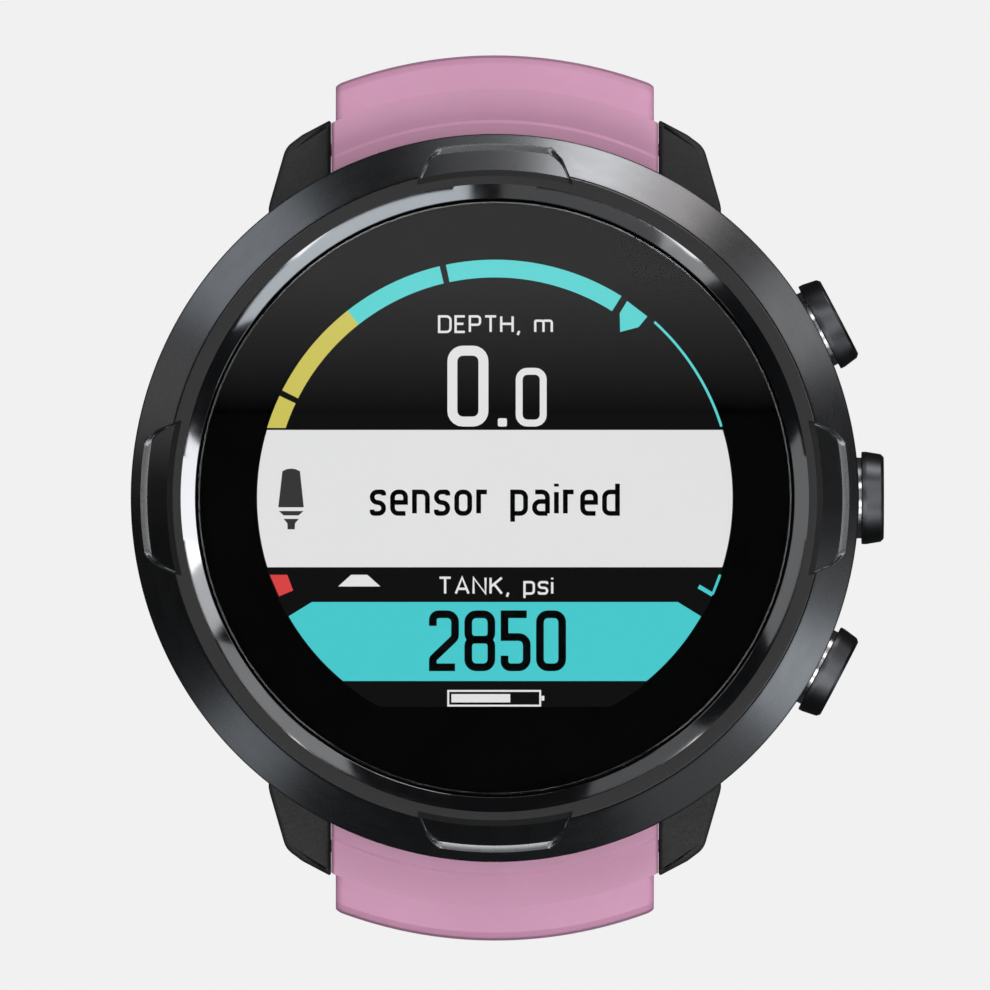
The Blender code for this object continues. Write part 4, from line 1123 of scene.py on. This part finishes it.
def dress_frame():
    """Gives each CAD node that still shows the material of its slot."""
    slots = {
        "seal": "black_rubber", "gasket": "black_rubber", "spring": "bright_steel", "clip": "bright_steel",
        "switch": "grey_plastic", "tray": "grey_plastic", "frame": "grey_plastic", "board": "circuit_board",
        "chip": "chip_black", "motor": "bright_steel", "buzzer": "gold_contact", "plate": "diffuser_white",
        "panel": "display_black", "battery": "battery_foil",
        "sensor": "bright_steel", "ring": "bezel_steel",
    }
    for name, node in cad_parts.items():
        if node.hide_render:
            continue
        last = name.split("_")[-1]
        look = LOOKS[slots[last]]
        if not node.material_slots:
            node.data.materials.append(look)
        for socket in node.material_slots:
            socket.material = look


# ---- stage, lights and camera


def glow_material(name):
    """A material without the usual shader, and its nodes."""
    look = bpy.data.materials.new(name)
    nodes = Nodes(look)
    nodes.tree.nodes.remove(nodes.tree.nodes["Principled BSDF"])
    return look, nodes


def make_floor():
    """A pale floor that lights the object from below only a little, as in a dark studio."""
    size = 20000
    floor = box("floor", (-size, -size, FLOOR_Z - 1), (size, size, FLOOR_Z))
    look, nodes = glow_material("pale_floor")
    glow = nodes.node("Emission", {"Color": PALE})
    dark = nodes.node("BsdfDiffuse", {"Color": (0.03, 0.03, 0.03, 1.0)})
    nodes.show(nodes.camera_only(glow.outputs[0], dark.outputs[0]))
    floor.data.materials.append(look)


def make_world():
    """The pale ground colour for the camera, and a nearly dark room for all other rays."""
    world = bpy.data.worlds.new("studio")
    bpy.context.scene.world = world
    nodes = Nodes(world)
    room = nodes.fill(nodes.tree.nodes["Background"], {"Color": (0.014, 0.0145, 0.0155, 1.0)})
    backdrop = nodes.node("Background", {"Color": PALE})
    nodes.show(nodes.camera_only(backdrop.outputs[0], room.outputs[0]), "World Output")


def panel(name, azimuth, elevation, across, tall, radiance, colour=(1, 1, 1)):
    """A soft light facing the case: its direction and angular size, and how bright it looks."""
    turn, lift = math.radians(azimuth), math.radians(elevation)
    towards = Vector((math.cos(turn) * math.cos(lift), math.sin(turn) * math.cos(lift), math.sin(lift)))
    lamp = bpy.data.lights.new(name, "AREA")
    lamp.shape = "RECTANGLE"
    lamp.size = 2 * LAMP_DISTANCE * math.tan(math.radians(across / 2)) * MM
    lamp.size_y = 2 * LAMP_DISTANCE * math.tan(math.radians(tall / 2)) * MM
    lamp.energy = radiance * math.pi * lamp.size * lamp.size_y
    lamp.color = colour
    made = bpy.data.objects.new(name, lamp)
    made.location = (towards * LAMP_DISTANCE + Vector((0, 0, 12))) * MM
    made.rotation_euler = towards.to_track_quat("Z", "Y").to_euler()
    made.visible_camera = False
    bpy.context.scene.collection.objects.link(made)


def make_lights():
    """A low row of lights for the slope, a middle row for the chamfer's glints, and high key lights."""
    cool, warm = (0.9, 0.96, 1.0), (1.0, 0.94, 0.92)
    low = {
        "right": (31, 18, 1.25), "top_right_edge": (60, 14, 2.7, warm), "top_right": (74, 14, 5.2),
        "top": (92, 18, 0.45), "top_left": (136, 26, 1.34, cool), "left": (163, 18, 0.42, warm),
        "bottom_left": (225, 15, 0.95, cool), "bottom_right": (307, 28, 0.26),
        "right_bottom": (330, 17, 2.2, cool), "right_edge": (346, 12, 0.3),
    }
    glint = {
        "right": (1, 20, 3.4), "right_end": (17, 14, 1.5), "top_right": (45, 28, 0.65),
        "bottom_left_end": (231, 10, 0.85), "top_left": (120, 20, 0.26), "left": (172, 32, 0.44),
        "bottom_left": (252, 28, 0.22), "bottom": (300, 42, 1.66, cool),
    }
    for row, elevation, tall, lamps in (("low", 9, 22, low), ("glint", 33, 14, glint)):
        for name, (azimuth, across, *light) in lamps.items():
            panel(f"{row}_{name}", azimuth, elevation, across, tall, *light)
    panel("key_right", 8, 62, 36, 24, 1.9)
    panel("key_left", 172, 62, 36, 24, 2.1)
    panel("key_bottom", 270, 52, 60, 14, 3.0)
    panel("key_top", 90, 54, 60, 14, 3.1)
    panel("key_high", 270, 73, 34, 16, 4.6)


def make_overhead():
    """A bounce card above the crystal, whose glow grows towards 12 o'clock."""
    low, full, far, height = 7.5, 20, 260.0, 700.0
    card = box("bounce_card", (-far, low, height), (far, far, height + 1))
    look, nodes = glow_material("bounce_glow")
    place = nodes.node("TexCoord", {}).outputs["Object"]
    split = nodes.node("SeparateXYZ", {0: place})
    limits = {"From Min": low * MM, "From Max": full * MM, "To Max": 0.4}
    rise = nodes.node("MapRange", {"Value": split.outputs["Y"], **limits})
    glow = nodes.node("Emission", {"Strength": rise.outputs["Result"]})
    nodes.show(glow.outputs[0])
    card.data.materials.append(look)
    card.visible_camera = False


def make_camera():
    """Straight above the case, far off, so that it sees the case almost without perspective."""
    width, distance, sensor = 72.05, 3000.0, 36.0
    lens = bpy.data.cameras.new("camera")
    lens.sensor_width = sensor
    lens.lens = sensor * distance / width
    camera = bpy.data.objects.new("camera", lens)
    camera.location = Vector((0.012, 0.216, distance + 13.5)) * MM
    bpy.context.scene.collection.objects.link(camera)
    bpy.context.scene.camera = camera
    bpy.context.scene.view_settings.view_transform = "Standard"


def main():
    LOOKS.update(make_materials())
    shapes = (
        make_bezel, make_mid_case, make_case_back, make_crystal, make_border, make_seal_lip, make_graphics,
        make_buttons, make_buckle_strap, make_hole_strap, make_strap_pins, make_buckle, make_keepers,
    )
    for make in (*shapes, dress_frame, make_floor, make_world, make_lights, make_overhead, make_camera):
        make()


main()
